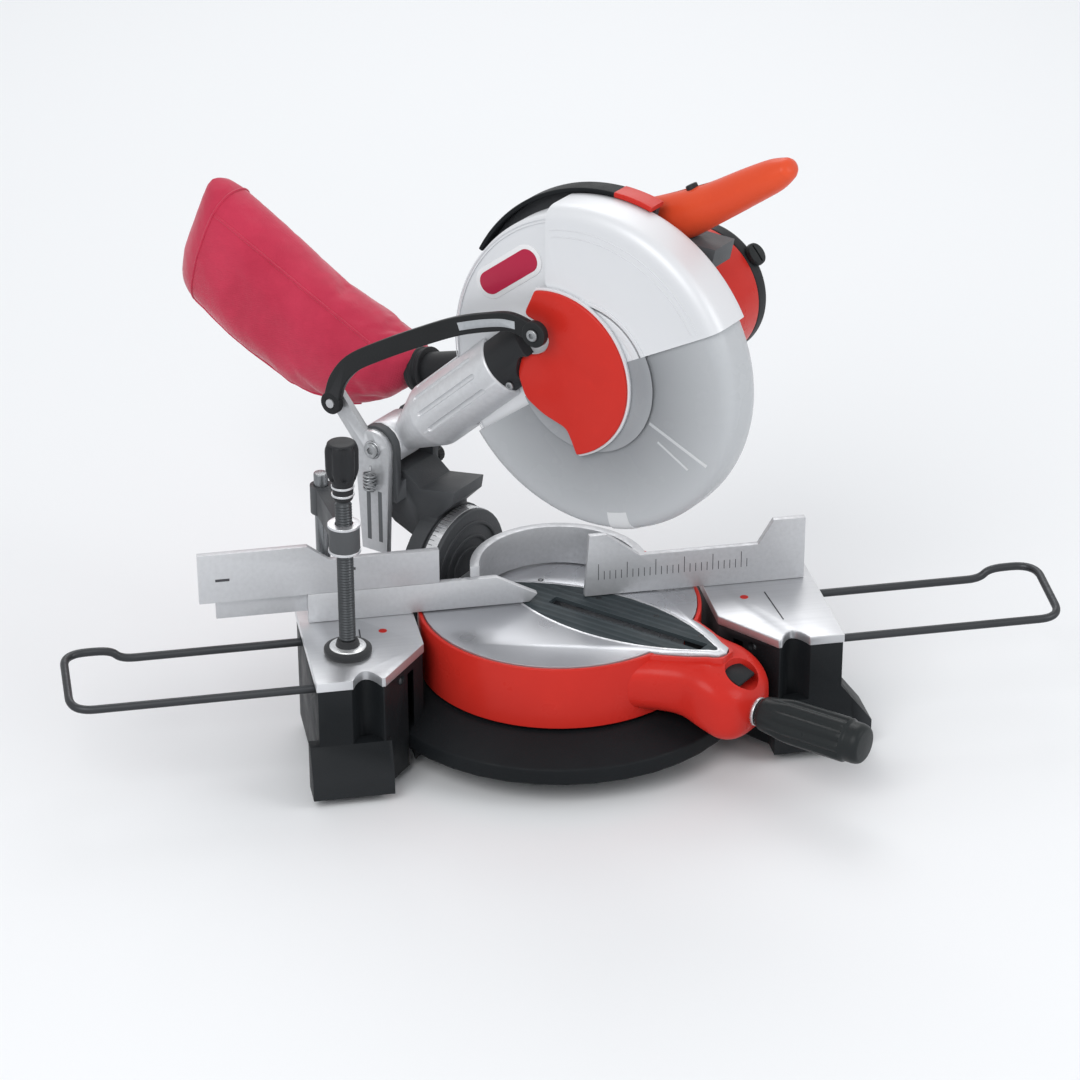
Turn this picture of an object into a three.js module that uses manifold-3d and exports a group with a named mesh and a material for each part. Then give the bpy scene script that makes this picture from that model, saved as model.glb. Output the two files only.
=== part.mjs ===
import * as THREE from 'three';
import { mergeVertices } from 'three/addons/utils/BufferGeometryUtils.js';
import Module from 'manifold-3d';

// A mitre saw. Lengths in millimetres: X to the right along the fence, Y to the back, Z up.
// The origin is on the turntable's pivot axis, at the bench.
const wasm = await Module();
wasm.setup();

// General
const degree = Math.PI / 180;
const gap = 0.3;
const over = 6;
const weld = 1e-4;

// Base
const tableTop = 112;
const plateThick = 8;
const wingHalf = 222;
const wingFront = 105;
const wingBack = 30;
const wingInner = 127;
const shoulderDepth = 53;
const cornerInset = 55;
const notchInset = 41;
const notchHalf = 13;
const notchDepth = 15;
const castWall = 8;
const cavityEdge = 10;
const cavityFront = 74;
const ringRadius = 160;
const ringFoot = 24;
const ringRim = 38;
const seatRadius = 124;
const drumSeat = 52;
const hubRadius = 32;
const footHeight = 8;
const footRadius = 13;
const footInset = 15;
const toeDepth = 13;
const toeRise = 52;
const toeHeel = 12;
const toeInset = -8;
const toeWidth = 68;
const toeHeight = 26;
const flareReach = 28;
const flareRise = 62;
const flareBack = 64;
const pivotRadius = 10;
const pivotBottom = 12;

// Work supports
const prongRadius = 3.5;
const frontProng = 82;
const rearProng = 0;
const prongHeight = 95;
const prongInner = 150;
const supportReach = 422;
const loopLift = 9;
const loopCorner = 20;
const boreEnd = 138;
const clampScrewRadius = 3;
const clampScrewX = wingHalf - 52;
const clampKnobRadius = 8;
const clampKnobLength = 9;

// Fence
const fenceThick = 6;
const fenceLow = 139;
const fenceRight = 148;
const fenceHorn = 170;
const fenceEnd = 215;
const fenceClear = 0.8;
const leftGapTop = 54;
const leftGapFoot = 19;
const leftGapHeel = 27;
const rightGap = 22;
const hornInner = 41;
const hornFoot = 70;
const hornOuter = 187;
const hornOuterFoot = 174;
const bridgeOuter = 76;
const bridgeThick = 8;
const bridgeTop = 148;
const flangeThick = 6;
const flangeBack = 27;
const flangeInner = 136;
const leftFlangeEnd = 186;
const subFenceOuter = 306;
const subFenceInner = 103;
const subFenceHigh = 184;
const subFenceTravel = 45;
const subFenceStepIn = 196;
const subFenceStepOut = 214;
const tongueThick = 3.5;
const tongueDrop = 18;
const tongueRise = 12;
const tongueInset = 14;

// Vise
const postX = wingHalf - 23.5;
const postY = 18;
const postRadius = 6;
const postBottom = 84;
const postTop = 243;
const viseX = wingHalf - 32;
const viseY = 57;
const padRadius = 20;
const padThick = 6;
const screwRadius = 7;
const viseArmLow = 207;
const viseArmHigh = 232;
const postEye = 9.5;
const screwEye = 13;
const viseWeb = 6;
const knobRadius = 14;
const knobLow = 253;
const knobHigh = 305;
const knobTurn = 1.6;

// Turntable
const mitre = 45 * degree;
const drumRadius = 117.5;
const skirtRadius = 121;
const skirtBottom = 55;
const skirtTop = 111;
const drumWall = 7;
const turntableBottom = 56;
const drumRear = 95;
const rearWall = 10;
const turntableHub = 30;
const kerfFront = 158;
const kerfRear = 60;
const kerfHalf = 36;
const kerfTip = 3;
const kerfThick = 4;
const kerfMargin = 9;
const lensSteps = 14;
const slotRear = 6;
const slotFront = 146;
const slotRight = 4.2;
const slotLeft = 8;
const pocketFloor = 84;
const pocketRight = 14;
const pocketLeft = 30;
const noseRoomLeft = 14;
const noseTop = 103.4;
const noseFront = 198;
const noseStations = [
  [0.5, 62, 57, 0], [0.63, 47, 57, 0], [0.73, 40, 55, 0], [0.83, 40, 48, 0],
  [0.91, 37, 43, 4], [0.97, 28, 46, 13], [1, 14, 55, 24],
];
const skirtGapHalf = 62;
const leverRadius = 11;
const leverThick = 8;
const leverAhead = 176;
const leverHeight = 97;
const leverWidth = 26;
const leverTravel = 3.5;
const gripHeight = 66;
const gripShaftRadius = 6;
const gripStart = 201;
const gripEnd = 301;
const gripRadius = 19;
const gripFlutes = 10;
const gripFluteDepth = 1.8;

// Bevel
const bevelHub = 56;
const bracketFront = 112;
const armHubThick = 14;
const bevelBoltRadius = 8;
const bevelBoltHead = 15;
const bevelHeadThick = 9;
const leverLength = 74;
const leverRoot = 13;
const leverBack = 9;

// Tilting arm and chop pivot, ahead of the turntable's axis and above the bench
const pivotBehind = 165;
const pivotHeight = 226;
const webRight = 24;
const webLeft = 20;
const earRadius = 20;
const earThick = 7.7;
const shaftRadius = 8;
const headHubRadius = 20;
const headHubRight = 8;
const headHubLeft = 26;
const earGapRight = 20.3;
const bracketThick = 6;
const linkBehind = 201;
const linkPivotHeight = 264;
const linkPinRadius = 4;
const lockPinBehind = 158;
const lockPinHeight = 192;
const lockPinRadius = 4;
const lockPinReach = 46;
const lockKnobRadius = 8;
const lockKnobThick = 9;
const lockPinEnd = 16;
const springRadius = 12;
const springWire = 1.4;
const springTurns = 2.5;
const springPitch = 3.4;
const springSamples = 48;

// Link bracket and the pivot's shaft
const armWeb = [
  [-96.4, 184], [-94.4, 196], [-130, 190], [-146, 203], [-186, 203], [-186, 178], [-158, 152],
];
const earFoot = 180;
const footThick = 16;
const shaftRoom = 60;
const shaftHead = 12;
const shaftHeadThick = 6;
const columnFoot = 130;
const columnWaist = 200;
const columnRadius = 17.5;
const linkBoss = 9;

// Blade and arbor
const arborAhead = 40;
const arborHeight = 341;
const bladeRadius = 127.5;
const bladeRoot = 121;
const bladeHalf = 1.4;
const bladeTeeth = 40;
const gulletStart = 0.35;
const gulletEnd = 0.08;
const spindleRadius = 12;
const flangeRadius = 25;
const flangeHalf = 6;
const boltHead = 12;
const boltHeadThick = 7;
const boltShank = 5;
const boltDepth = 20;
const spindleGear = 23;
const gearThick = 12;
const gearTeeth = 18;
const gearRight = 44;
const spindleRight = 56;
const bearingOuter = 20;
const bearingThick = 9;

// Blade case, hood and lower guard: revolved about the arbor
const caseRadius = 134;
const caseHalf = 18.5;
const caseWall = 2;
const caseFrom = 98;
const caseTo = 214;
const caseRound = 8;
const bossRadius = 60;
const bossWall = 7;
const bossFace = 24.7;
const guardRadius = 138.5;
const guardHalf = 22;
const guardWall = 2;
const guardEye = 62;
const guardFrom = -141;
const guardTo = 33;
const guardRound = 11;
const hoodRadius = 142;
const hoodWall = 2;
const hoodFrom = 28;
const hoodTo = 105.2;
const revolveSides = 40;
const roundSides = 48;
const midSides = 32;
const hubSides = 24;
const boreSides = 16;
const smallSides = 12;
const bendSteps = 2;

// Centre cover
const coverAhead = 14;
const coverHeight = 338;
const coverRadius = 71;
const coverThick = 6;
const coverRound = 1.5;

// Arm barrel
const barrelAhead = -50;
const barrelHeight = 321.5;
const barrelLeft = 9;
const barrelPitch = 41.6;
const barrelRadius = 29;
const barrelLength = 94;
const coneLength = 42;
const coneTip = 13;
const neckLength = 30;
const grooveRadius = 2.6;
const grooveInset = 7;
const collarRadius = 27.5;
const collarLength = 27;

// Gear housing and motor
const motorAhead = 57;
const motorHeight = 367;
const motorRadius = 58;
const motorWall = 4;
const motorFace = 60;
const motorEnd = 126;
const capEnd = 150;
const capRound = 12;
const capSides = 28;
const platRadius = 146;
const plateFrom = 75;
const plateTo = 208;
const backPlate = 6;
const backFace = 25;
const gearCaseRadius = 40;
const armatureRadius = 38;
const armatureShaft = 6;
const pinionRadius = 7.5;
const brushRadius = 10;
const brushHead = 5;
const brushOut = 138;
const shaftLockRadius = 4.5;
const shaftLockReach = 9;
const glandRadius = 9;
const glandLength = 18;
const glandRim = 3;
const glandTaper = 3;
const glandInset = 12;
const glandAngle = 285;

// Handle
const handleSplit = 55;
const handleWall = 3;
const triggerHalf = 6;
const triggerAhead = 118;
const triggerHeight = 463;
const buttonAhead = 92;
const buttonRadius = 5;
const buttonHeight = 488;
const buttonIn = 4;
const buttonOut = 4;
const handlePitch = 33;
const handleStations = [
  [40, 452, 14, 15], [56, 452, 20, 18], [82, 463, 20, 18], [112, 480, 17, 17],
  [146, 502, 15, 16], [168, 516, 13, 15], [180, 524, 9, 11],
];
const yokeOutline = [[18, 424], [26, 446], [64, 448], [122, 446], [118, 428], [86, 405]];
const yokeMiddle = 64;
const yokeRight = 12;
const yokeLeft = 18;

// Dust outlet and bag
const nozzleRight = 48;
const nozzleRadius = 16;
const nozzleWall = 2.5;
const nozzleCollar = 20;
const collarWidth = 12;
const bagAhead = -181;
const outletAhead = -78;
const outletHeight = 292;
const bagHeight = outletHeight - 29;
const bagPitch = 160;
const bagStations = [
  [0, -16, 19, 18], [14, -34, 24, 28], [45, -64, 27, 35], [85, -77, 32, 37], [150, -76, 40, 38],
  [215, -70, 51, 34], [238, -64, 52, 22], [246, -56, 48, 8],
];

// Link
const linkFace = 44;
const linkThick = 6;
const linkEyeAhead = 8;
const linkEyeHeight = 378;
const linkEyeRadius = 12;
const linkHalfWidth = 8;
const linkSteps = 15;
const linkBends = [[-194, 286], [-178, 306], [-150, 324], [-110, 346], [-70, 366], [-36, 378], [-14, 383]];

// Helpers
const axes = {
  x: new THREE.Matrix4().set(0, 0, 1, 0, 1, 0, 0, 0, 0, 1, 0, 0, 0, 0, 0, 1),
  y: new THREE.Matrix4().set(1, 0, 0, 0, 0, 0, -1, 0, 0, 1, 0, 0, 0, 0, 0, 1),
  z: new THREE.Matrix4(),
};

function solid(geometry) {
  const bare = geometry.index ? geometry.toNonIndexed() : geometry.clone();
  for (const name of Object.keys(bare.attributes)) {
    if (name !== 'position') bare.deleteAttribute(name);
  }
  const merged = mergeVertices(bare, weld);
  const places = merged.attributes.position.array;
  const corner = (index) => new THREE.Vector3().fromArray(places, index * 3);
  const faces = [];
  let volume = 0;
  for (let at = 0; at < merged.index.count; at += 3) {
    const [a, b, c] = merged.index.array.slice(at, at + 3);
    if (a === b || b === c || c === a) continue;
    faces.push([a, b, c]);
    volume += corner(a).dot(corner(b).cross(corner(c)));
  }
  const wound = volume < 0 ? faces.map(([a, b, c]) => [a, c, b]) : faces;
  const mesh = new wasm.Mesh({
    numProp: 3,
    vertProperties: new Float32Array(places),
    triVerts: new Uint32Array(wound.flat()),
  });
  return new wasm.Manifold(mesh);
}

const join = (...pieces) => pieces.reduce((whole, piece) => whole.add(piece));
const cut = (whole, ...pieces) => pieces.reduce((left, piece) => left.subtract(piece), whole);

function outline(points) {
  return new THREE.Shape(points.map(([u, v]) => new THREE.Vector2(u, v)));
}

function disc(u, v, radius, sides = 32) {
  const points = [];
  for (let side = 0; side < sides; side += 1) {
    const turn = (side / sides) * 360 * degree;
    points.push([u + radius * Math.cos(turn), v + radius * Math.sin(turn)]);
  }
  return outline(points);
}

function prism(shape, axis, from, to, round = 0) {
  const geometry = new THREE.ExtrudeGeometry(shape, {
    depth: to - from - 2 * round,
    bevelEnabled: round > 0,
    bevelThickness: round,
    bevelSize: round,
    bevelOffset: -round,
    bevelSegments: 2,
    curveSegments: 8,
  });
  const start = axis === 'y' ? -to : from;
  geometry.translate(0, 0, start + round);
  geometry.applyMatrix4(axes[axis]);
  return solid(geometry);
}

function block(x0, x1, y0, y1, z0, z1) {
  const geometry = new THREE.BoxGeometry(x1 - x0, y1 - y0, z1 - z0);
  geometry.translate((x0 + x1) / 2, (y0 + y1) / 2, (z0 + z1) / 2);
  return solid(geometry);
}

function lathe(profile, axis, sides = 32) {
  const geometry = new THREE.LatheGeometry(profile.map(([r, t]) => new THREE.Vector2(r, t)), sides);
  if (axis === 'x') geometry.rotateZ(-90 * degree);
  if (axis === 'z') geometry.rotateX(90 * degree);
  return geometry;
}

function turned(profile, axis, place, sides = 32) {
  return solid(lathe(profile, axis, sides).translate(...place));
}

function rod(radius, axis, from, to, place, sides = 20) {
  return turned([[0, from], [radius, from], [radius, to], [0, to]], axis, place, sides);
}

function loft(rings) {
  const corners = rings.flat();
  const count = rings[0].length;
  const faces = [];
  for (let ring = 0; ring + 1 < rings.length; ring += 1) {
    for (let side = 0; side < count; side += 1) {
      const a = ring * count + side;
      const b = ring * count + ((side + 1) % count);
      faces.push([a, b, b + count], [a, b + count, a + count]);
    }
  }
  const last = (rings.length - 1) * count;
  for (let side = 1; side + 1 < count; side += 1) {
    faces.push([0, side + 1, side], [last, last + side, last + side + 1]);
  }
  const geometry = new THREE.BufferGeometry();
  geometry.setAttribute('position', new THREE.Float32BufferAttribute(corners.flat(), 3));
  geometry.setIndex(faces.flat());
  return solid(geometry);
}

function roundness(turn, half, power) {
  const share = Math.abs(turn) ** power;
  return Math.sign(turn) * share * half;
}

function tube(curve, radius, steps, sides = 8) {
  return solid(new THREE.ExtrudeGeometry(disc(0, 0, radius, sides), { extrudePath: curve, steps }));
}

function polar(ahead, height, radius, angle) {
  return [ahead + radius * Math.cos(angle * degree), height + radius * Math.sin(angle * degree)];
}

function paint(color, roughness, metalness = 0) {
  return new THREE.MeshStandardMaterial({ color, roughness, metalness });
}

const black = () => paint(0x191b1d, 0.6);
const darkGrey = () => paint(0x3a3f42, 0.55, 0.3);
const castGrey = () => paint(0xc3c6c9, 0.45, 0.6);
const red = () => paint(0xcd3427, 0.4);
const orange = () => paint(0xe05a35, 0.45);
const steel = () => paint(0xb8bcc0, 0.3, 0.9);
const white = () => paint(0xe6e9ee, 0.4, 0.2);
const rubber = () => paint(0x141414, 0.9);
const crimson = () => paint(0xb83250, 0.9);
const smoke = () => paint(0xaab0b5, 0.25);

const saw = new THREE.Group();
saw.name = 'mitre_saw';
const base = new THREE.Group();
const carriage = new THREE.Group();
const ahead = new THREE.Vector3(Math.sin(mitre), -Math.cos(mitre), 0);
const up = new THREE.Vector3(0, 0, 1);
const left = new THREE.Vector3().crossVectors(ahead, up);
carriage.quaternion.setFromRotationMatrix(new THREE.Matrix4().makeBasis(ahead, up, left));
const tilting = new THREE.Group();
const head = new THREE.Group();
const guardGroup = new THREE.Group();
const bladeGroup = new THREE.Group();
saw.add(base, carriage);
carriage.add(tilting);
tilting.add(head);
head.add(bladeGroup, guardGroup);

function add(parent, name, body, material) {
  const mesh = body.getMesh();
  const geometry = new THREE.BufferGeometry();
  geometry.setAttribute('position', new THREE.BufferAttribute(new Float32Array(mesh.vertProperties), 3));
  geometry.setIndex(new THREE.BufferAttribute(new Uint32Array(mesh.triVerts), 1));
  const piece = new THREE.Mesh(geometry, material);
  piece.name = name;
  parent.add(piece);
}

// Base casting: a shallow round dish with two hollow wings
function wingOutline(side, grow = 0) {
  const shape = new THREE.Shape();
  const notch = wingHalf - notchInset;
  shape.moveTo(side * (wingHalf + grow), wingBack + grow);
  shape.lineTo(side * (wingHalf + grow), -wingFront - grow);
  shape.lineTo(side * (notch + notchHalf - grow), -wingFront - grow);
  shape.quadraticCurveTo(
    side * notch, -wingFront + 2 * notchDepth - grow,
    side * (notch - notchHalf + grow), -wingFront - grow,
  );
  shape.lineTo(side * (wingHalf - cornerInset - grow), -wingFront - grow);
  shape.lineTo(side * (wingInner - grow), -shoulderDepth - grow);
  shape.lineTo(side * (wingInner - grow), wingBack + grow);
  shape.closePath();
  return shape;
}

const sideBlock = (side, inner, outer, y0, y1, z0, z1) => (
  side > 0 ? block(inner, outer, y0, y1, z0, z1) : block(-outer, -inner, y0, y1, z0, z1)
);
const sideRod = (side, radius, inner, outer, y, z) => (
  rod(radius, 'x', side > 0 ? inner : -outer, side > 0 ? outer : -inner, [0, y, z], 12)
);

function baseCasting() {
  const shell = castWall;
  const dish = turned([
    [0, 0], [hubRadius, 0], [hubRadius, drumSeat - shell],
    [seatRadius - shell, drumSeat - shell], [ringRadius - 1.2 * shell, ringRim - shell / 2],
    [ringRadius - 1.2 * shell, ringFoot], [ringRadius, ringFoot], [ringRadius, ringRim],
    [seatRadius, drumSeat], [0, drumSeat],
  ], 'z', [0, 0, 0], revolveSides);
  const wings = [-1, 1].map((side) => {
    const wing = prism(wingOutline(side), 'z', footHeight + gap, tableTop - plateThick - gap);
    const cavity = sideBlock(
      side, wingInner + cavityEdge, wingHalf - cavityEdge,
      -cavityFront, -cavityEdge, 0, tableTop - plateThick - castWall,
    );
    const toeSide = outline([
      [-wingFront + toeHeel, toeRise], [-wingFront, toeRise], [-wingFront - toeDepth, toeHeight],
      [-wingFront - toeDepth, footHeight + gap], [-wingFront + toeHeel, footHeight + gap],
    ]);
    const toeEnd = wingHalf - toeInset;
    const toe = prism(toeSide, 'x', Math.min(side * toeEnd, side * (toeEnd - toeWidth)),
      Math.max(side * toeEnd, side * (toeEnd - toeWidth)));
    const bores = [frontProng, rearProng].map((depth) => (
      sideRod(side, prongRadius + gap, boreEnd, wingHalf + over, -depth, prongHeight)
    ));
    const screwBore = rod(clampScrewRadius + gap, 'y', -rearProng, wingBack + over,
      [side * clampScrewX, 0, prongHeight], 12);
    return cut(join(wing, toe), cavity, ...bores, screwBore);
  });
  const flare = prism(outline([
    [wingHalf - toeHeel, flareRise], [wingHalf, flareRise], [wingHalf + flareReach, toeHeight],
    [wingHalf + flareReach, footHeight + gap], [wingHalf - toeHeel, footHeight + gap],
  ]), 'y', -wingFront, -flareBack);
  const postBore = rod(postRadius + gap, 'z', postBottom - gap, tableTop + over, [-postX, postY, 0]);
  const pivotBore = rod(pivotRadius + gap, 'z', pivotBottom, tableTop, [0, 0, 0]);
  return cut(join(dish, ...wings, flare), postBore, pivotBore);
}
add(base, 'base_casting', baseCasting(), black());

const pocketTop = tableTop - kerfThick - gap;
const boltTop = pocketFloor - 3 * gap - 3;
add(base, 'pivot_bolt', rod(pivotRadius, 'z', pivotBottom + gap, boltTop, [0, 0, 0]), steel());

function tablePlate(side) {
  const plate = prism(wingOutline(side, 1), 'z', tableTop - plateThick, tableTop);
  return side > 0 ? plate : cut(plate, rod(postRadius + gap, 'z', postBottom, tableTop + over, [-postX, postY, 0]));
}
add(base, 'left_table_plate', tablePlate(-1), castGrey());
add(base, 'right_table_plate', tablePlate(1), castGrey());

for (const [side, sideName] of [[-1, 'left'], [1, 'right']]) {
  for (const [depth, place] of [[-wingFront + footInset, 'front'], [wingBack - footInset, 'rear']]) {
    const foot = turned([
      [0, 0], [footRadius, 0], [footRadius - 1, footHeight], [0, footHeight],
    ], 'z', [side * (wingHalf - footInset), depth, 0], 20);
    add(base, `${sideName}_${place}_foot`, foot, rubber());
  }
}

// Work supports: bent wire loops that slide in the wings
function workSupport(side) {
  const at = (x, y, z) => new THREE.Vector3(side * x, y, z);
  const path = new THREE.CurvePath();
  const nearFront = at(supportReach - loopCorner, -frontProng, prongHeight);
  const frontCorner = at(supportReach, -frontProng, prongHeight);
  const frontEnd = at(supportReach, -frontProng + loopCorner, prongHeight + loopLift / 4);
  const rearEnd = at(supportReach, -rearProng - loopCorner, prongHeight + loopLift);
  const rearCorner = at(supportReach, -rearProng, prongHeight + loopLift);
  const nearRear = at(supportReach - loopCorner, -rearProng, prongHeight + loopLift);
  const rampTop = at(supportReach - 1.6 * loopCorner, -rearProng, prongHeight + loopLift);
  const rampFoot = at(supportReach - 2.8 * loopCorner, -rearProng, prongHeight);
  path.add(new THREE.LineCurve3(at(prongInner, -frontProng, prongHeight), nearFront));
  path.add(new THREE.QuadraticBezierCurve3(nearFront, frontCorner, frontEnd));
  path.add(new THREE.LineCurve3(frontEnd, rearEnd));
  path.add(new THREE.QuadraticBezierCurve3(rearEnd, rearCorner, nearRear));
  path.add(new THREE.CubicBezierCurve3(nearRear, rampTop, rampTop, rampFoot));
  path.add(new THREE.LineCurve3(rampFoot, at(prongInner, -rearProng, prongHeight)));
  return tube(new THREE.CatmullRomCurve3(bendPoints(path), false, 'centripetal'), prongRadius, 42, 6);
}

function bendPoints(path) {
  const points = [];
  for (const curve of path.curves) {
    const straight = curve instanceof THREE.LineCurve3;
    const steps = straight ? 6 : 5;
    for (let step = 0; step < steps; step += 1) points.push(curve.getPoint(step / steps));
  }
  points.push(path.curves.at(-1).getPoint(1));
  return points;
}
add(base, 'left_work_support', workSupport(-1), darkGrey());
add(base, 'right_work_support', workSupport(1), darkGrey());

function clampScrew(side) {
  const tip = -rearProng + prongRadius + gap;
  const seat = wingBack + 1 + gap;
  return turned([
    [0, tip], [clampScrewRadius, tip], [clampScrewRadius, seat], [clampKnobRadius, seat],
    [clampKnobRadius, seat + clampKnobLength], [0, seat + clampKnobLength],
  ], 'y', [side * clampScrewX, 0, prongHeight], 12);
}
add(base, 'left_support_screw', clampScrew(-1), black());
add(base, 'right_support_screw', clampScrew(1), black());

// Fence: both halves and the rear bridge are one casting
function fenceCasting() {
  const foot = tableTop + gap;
  const leftHalf = prism(outline([
    [-fenceEnd, foot], [-leftGapHeel, foot], [-leftGapFoot, foot + plateThick],
    [-leftGapTop, fenceLow], [-fenceEnd, fenceLow],
  ]), 'y', 0, fenceThick);
  const rightHalf = prism(outline([
    [rightGap, foot], [fenceEnd, foot], [fenceEnd, fenceHorn], [hornOuter, fenceHorn],
    [hornOuterFoot, fenceRight], [hornFoot, fenceRight], [(hornInner + hornFoot) / 2, (fenceRight + fenceHorn) / 2],
    [hornInner, fenceHorn], [rightGap + castWall / 2, fenceHorn],
  ]), 'y', 0, fenceThick);
  const inner = bridgeOuter - bridgeThick;
  const ring = turned([
    [inner, foot], [bridgeOuter, foot], [bridgeOuter, bridgeTop], [inner, bridgeTop], [inner, foot],
  ], 'z', [0, 0, 0], 48);
  const behind = block(-bridgeOuter - over, bridgeOuter + over, fenceThick / 2, bridgeOuter + over, 0, 2 * bridgeTop);
  const flanges = [[-leftFlangeEnd, -flangeInner], [flangeInner, fenceEnd]].map(([from, to]) => (
    block(from, to, fenceThick / 2, flangeBack, foot, foot + flangeThick)
  ));
  const lift = block(-wingInner, wingInner, -over, wingBack + bridgeOuter, 0, foot + fenceClear);
  const boardRoom = block(-bridgeOuter - over, 0, 0, fenceThick + 2 * gap, fenceLow, 2 * fenceLow);
  const bridge = cut(ring.intersect(behind), boardRoom);
  return cut(join(leftHalf, rightHalf, bridge, ...flanges), lift);
}
add(base, 'fence_casting', fenceCasting(), castGrey());

function subFence() {
  const low = fenceLow + gap;
  const board = prism(outline([
    [-subFenceOuter, low], [-subFenceInner, low], [-subFenceInner, fenceHorn],
    [-subFenceStepIn, fenceHorn], [-subFenceStepOut, subFenceHigh], [-subFenceOuter, subFenceHigh],
  ]), 'y', 0, fenceThick);
  const behind = fenceThick + gap;
  const tongueEnd = -subFenceInner - tongueInset - subFenceTravel;
  const tongue = block(
    -subFenceOuter + tongueInset, tongueEnd, fenceThick - gap, behind + tongueThick,
    low, fenceLow + tongueRise,
  );
  const drop = block(
    -subFenceOuter + tongueInset, tongueEnd, behind, behind + tongueThick,
    fenceLow - tongueDrop, low + gap,
  );
  return join(board, tongue, drop);
}
add(base, 'left_sub_fence', subFence(), castGrey());

// Vise
function viseArm() {
  const eyes = join(
    rod(postEye, 'z', viseArmLow, viseArmHigh, [-postX, postY, 0]),
    rod(screwEye, 'z', viseArmLow, viseArmHigh, [-viseX, -viseY, 0]),
  );
  const web = prism(outline([
    [-postX - viseWeb, postY], [-viseX - viseWeb, -viseY], [-viseX + viseWeb, -viseY], [-postX + viseWeb, postY],
  ]), 'z', viseArmLow + gap, viseArmHigh - gap);
  return cut(
    join(eyes, web),
    rod(postRadius + gap, 'z', 0, viseArmHigh + over, [-postX, postY, 0]),
    rod(screwRadius + gap, 'z', 0, viseArmHigh + over, [-viseX, -viseY, 0]),
  );
}

const visePlace = [-viseX, -viseY, 0];
const padBottom = tableTop + gap;
add(base, 'vise_post', turned([
  [0, postBottom], [postRadius, postBottom], [postRadius, postTop - 1], [postRadius - 1, postTop], [0, postTop],
], 'z', [-postX, postY, 0], 20), steel());
add(base, 'vise_arm', viseArm(), darkGrey());
add(base, 'vise_pad', turned([
  [0, padBottom], [padRadius - 1, padBottom], [padRadius, padBottom + 1], [padRadius, padBottom + padThick - 1],
  [padRadius - 3, padBottom + padThick], [screwRadius + 3, padBottom + padThick],
  [screwRadius + 2, padBottom + 2 * padThick], [0, padBottom + 2 * padThick],
], 'z', visePlace, 28), rubber());
add(base, 'vise_screw', rod(screwRadius, 'z', padBottom + 2 * padThick + gap, knobLow - gap, visePlace), darkGrey());

function viseKnob() {
  const rings = [];
  const shares = [[0, 0.62], [0.06, 0.7], [0.3, 0.72], [0.42, 1], [0.9, 1], [1, 0.8]];
  for (const [heightShare, radiusShare] of shares) {
    const ring = [];
    for (let side = 0; side < 24; side += 1) {
      const turn = side * 15 * degree;
      const flute = heightShare > 0.4 ? knobTurn * Math.cos(turn * 6) : 0;
      const radius = knobRadius * radiusShare - knobTurn + flute;
      const height = knobLow + heightShare * (knobHigh - knobLow);
      ring.push([-viseX + radius * Math.cos(turn), -viseY + radius * Math.sin(turn), height]);
    }
    rings.push(ring);
  }
  return loft(rings);
}
add(base, 'vise_knob', viseKnob(), black());

// Turntable, in the saw's own axes: X ahead, Y up, Z to the left
function lens(grow) {
  const half = (kerfFront + kerfRear) / 2;
  const middle = (kerfFront - kerfRear) / 2;
  const radius = (half * half + kerfHalf * kerfHalf) / (2 * kerfHalf);
  const tip = kerfTip + grow;
  const points = [];
  for (const side of [1, -1]) {
    for (let step = 0; step < lensSteps; step += 1) {
      const along = -(half + grow) * Math.cos((step / lensSteps) * Math.PI);
      const pastTip = Math.abs(along) - (half + grow - tip);
      const reach = Math.sqrt((radius + grow) ** 2 - along * along);
      const straight = Math.max(reach - (radius - kerfHalf), tip);
      const width = pastTip > 0 ? Math.sqrt(Math.max(tip * tip - pastTip * pastTip, 0)) : straight;
      points.push([middle + side * along, side * width]);
    }
  }
  return outline(points);
}

function turntable() {
  const floor = tableTop - plateThick;
  const plate = prism(disc(0, 0, drumRadius, roundSides), 'y', floor, tableTop);
  const tongue = prism(lens(kerfMargin), 'y', floor, tableTop);
  const wall = turned([
    [drumRadius - drumWall, turntableBottom], [drumRadius - gap, turntableBottom],
    [drumRadius - gap, floor + 1], [drumRadius - drumWall, floor + 1], [drumRadius - drumWall, turntableBottom],
  ], 'y', [0, 0, 0], roundSides);
  const hub = rod(turntableHub, 'y', drumSeat + 1, floor + 1, [0, 0, 0], hubSides);
  const rear = block(-drumRear, -drumRear + rearWall, turntableBottom, floor + 1, -skirtGapHalf, skirtGapHalf);
  const trough = block(
    -2 * slotRear, drumRadius, pocketFloor - castWall / 2, floor + 1,
    -pocketRight - castWall / 2, pocketLeft + castWall / 2,
  ).intersect(rod(drumRadius - gap, 'y', 0, tableTop, [0, 0, 0], roundSides));
  const pocket = join(
    block(-slotRear - castWall, drumRadius - castWall, pocketFloor, pocketTop + gap, -pocketRight, pocketLeft),
    block(0, slotFront + 2, pocketFloor, pocketTop + gap, -pocketRight, noseRoomLeft),
  );
  const recess = prism(lens(gap), 'y', pocketTop, tableTop + over);
  const behind = block(-2 * drumRadius, -drumRear, 0, 2 * tableTop, -drumRadius, drumRadius);
  const bore = rod(pivotRadius + gap, 'y', 0, boltTop + gap, [0, 0, 0]);
  const whole = join(plate, tongue, wall, hub, rear, trough);
  return cut(whole, pocket, recess, behind, bore);
}
add(carriage, 'turntable', turntable(), castGrey());

function kerfBoard() {
  const board = prism(lens(0), 'y', pocketTop + gap, tableTop);
  return cut(board, block(-slotRear, slotFront, 0, tableTop + over, -slotRight, slotLeft));
}
add(carriage, 'kerf_board', kerfBoard(), black());

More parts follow.
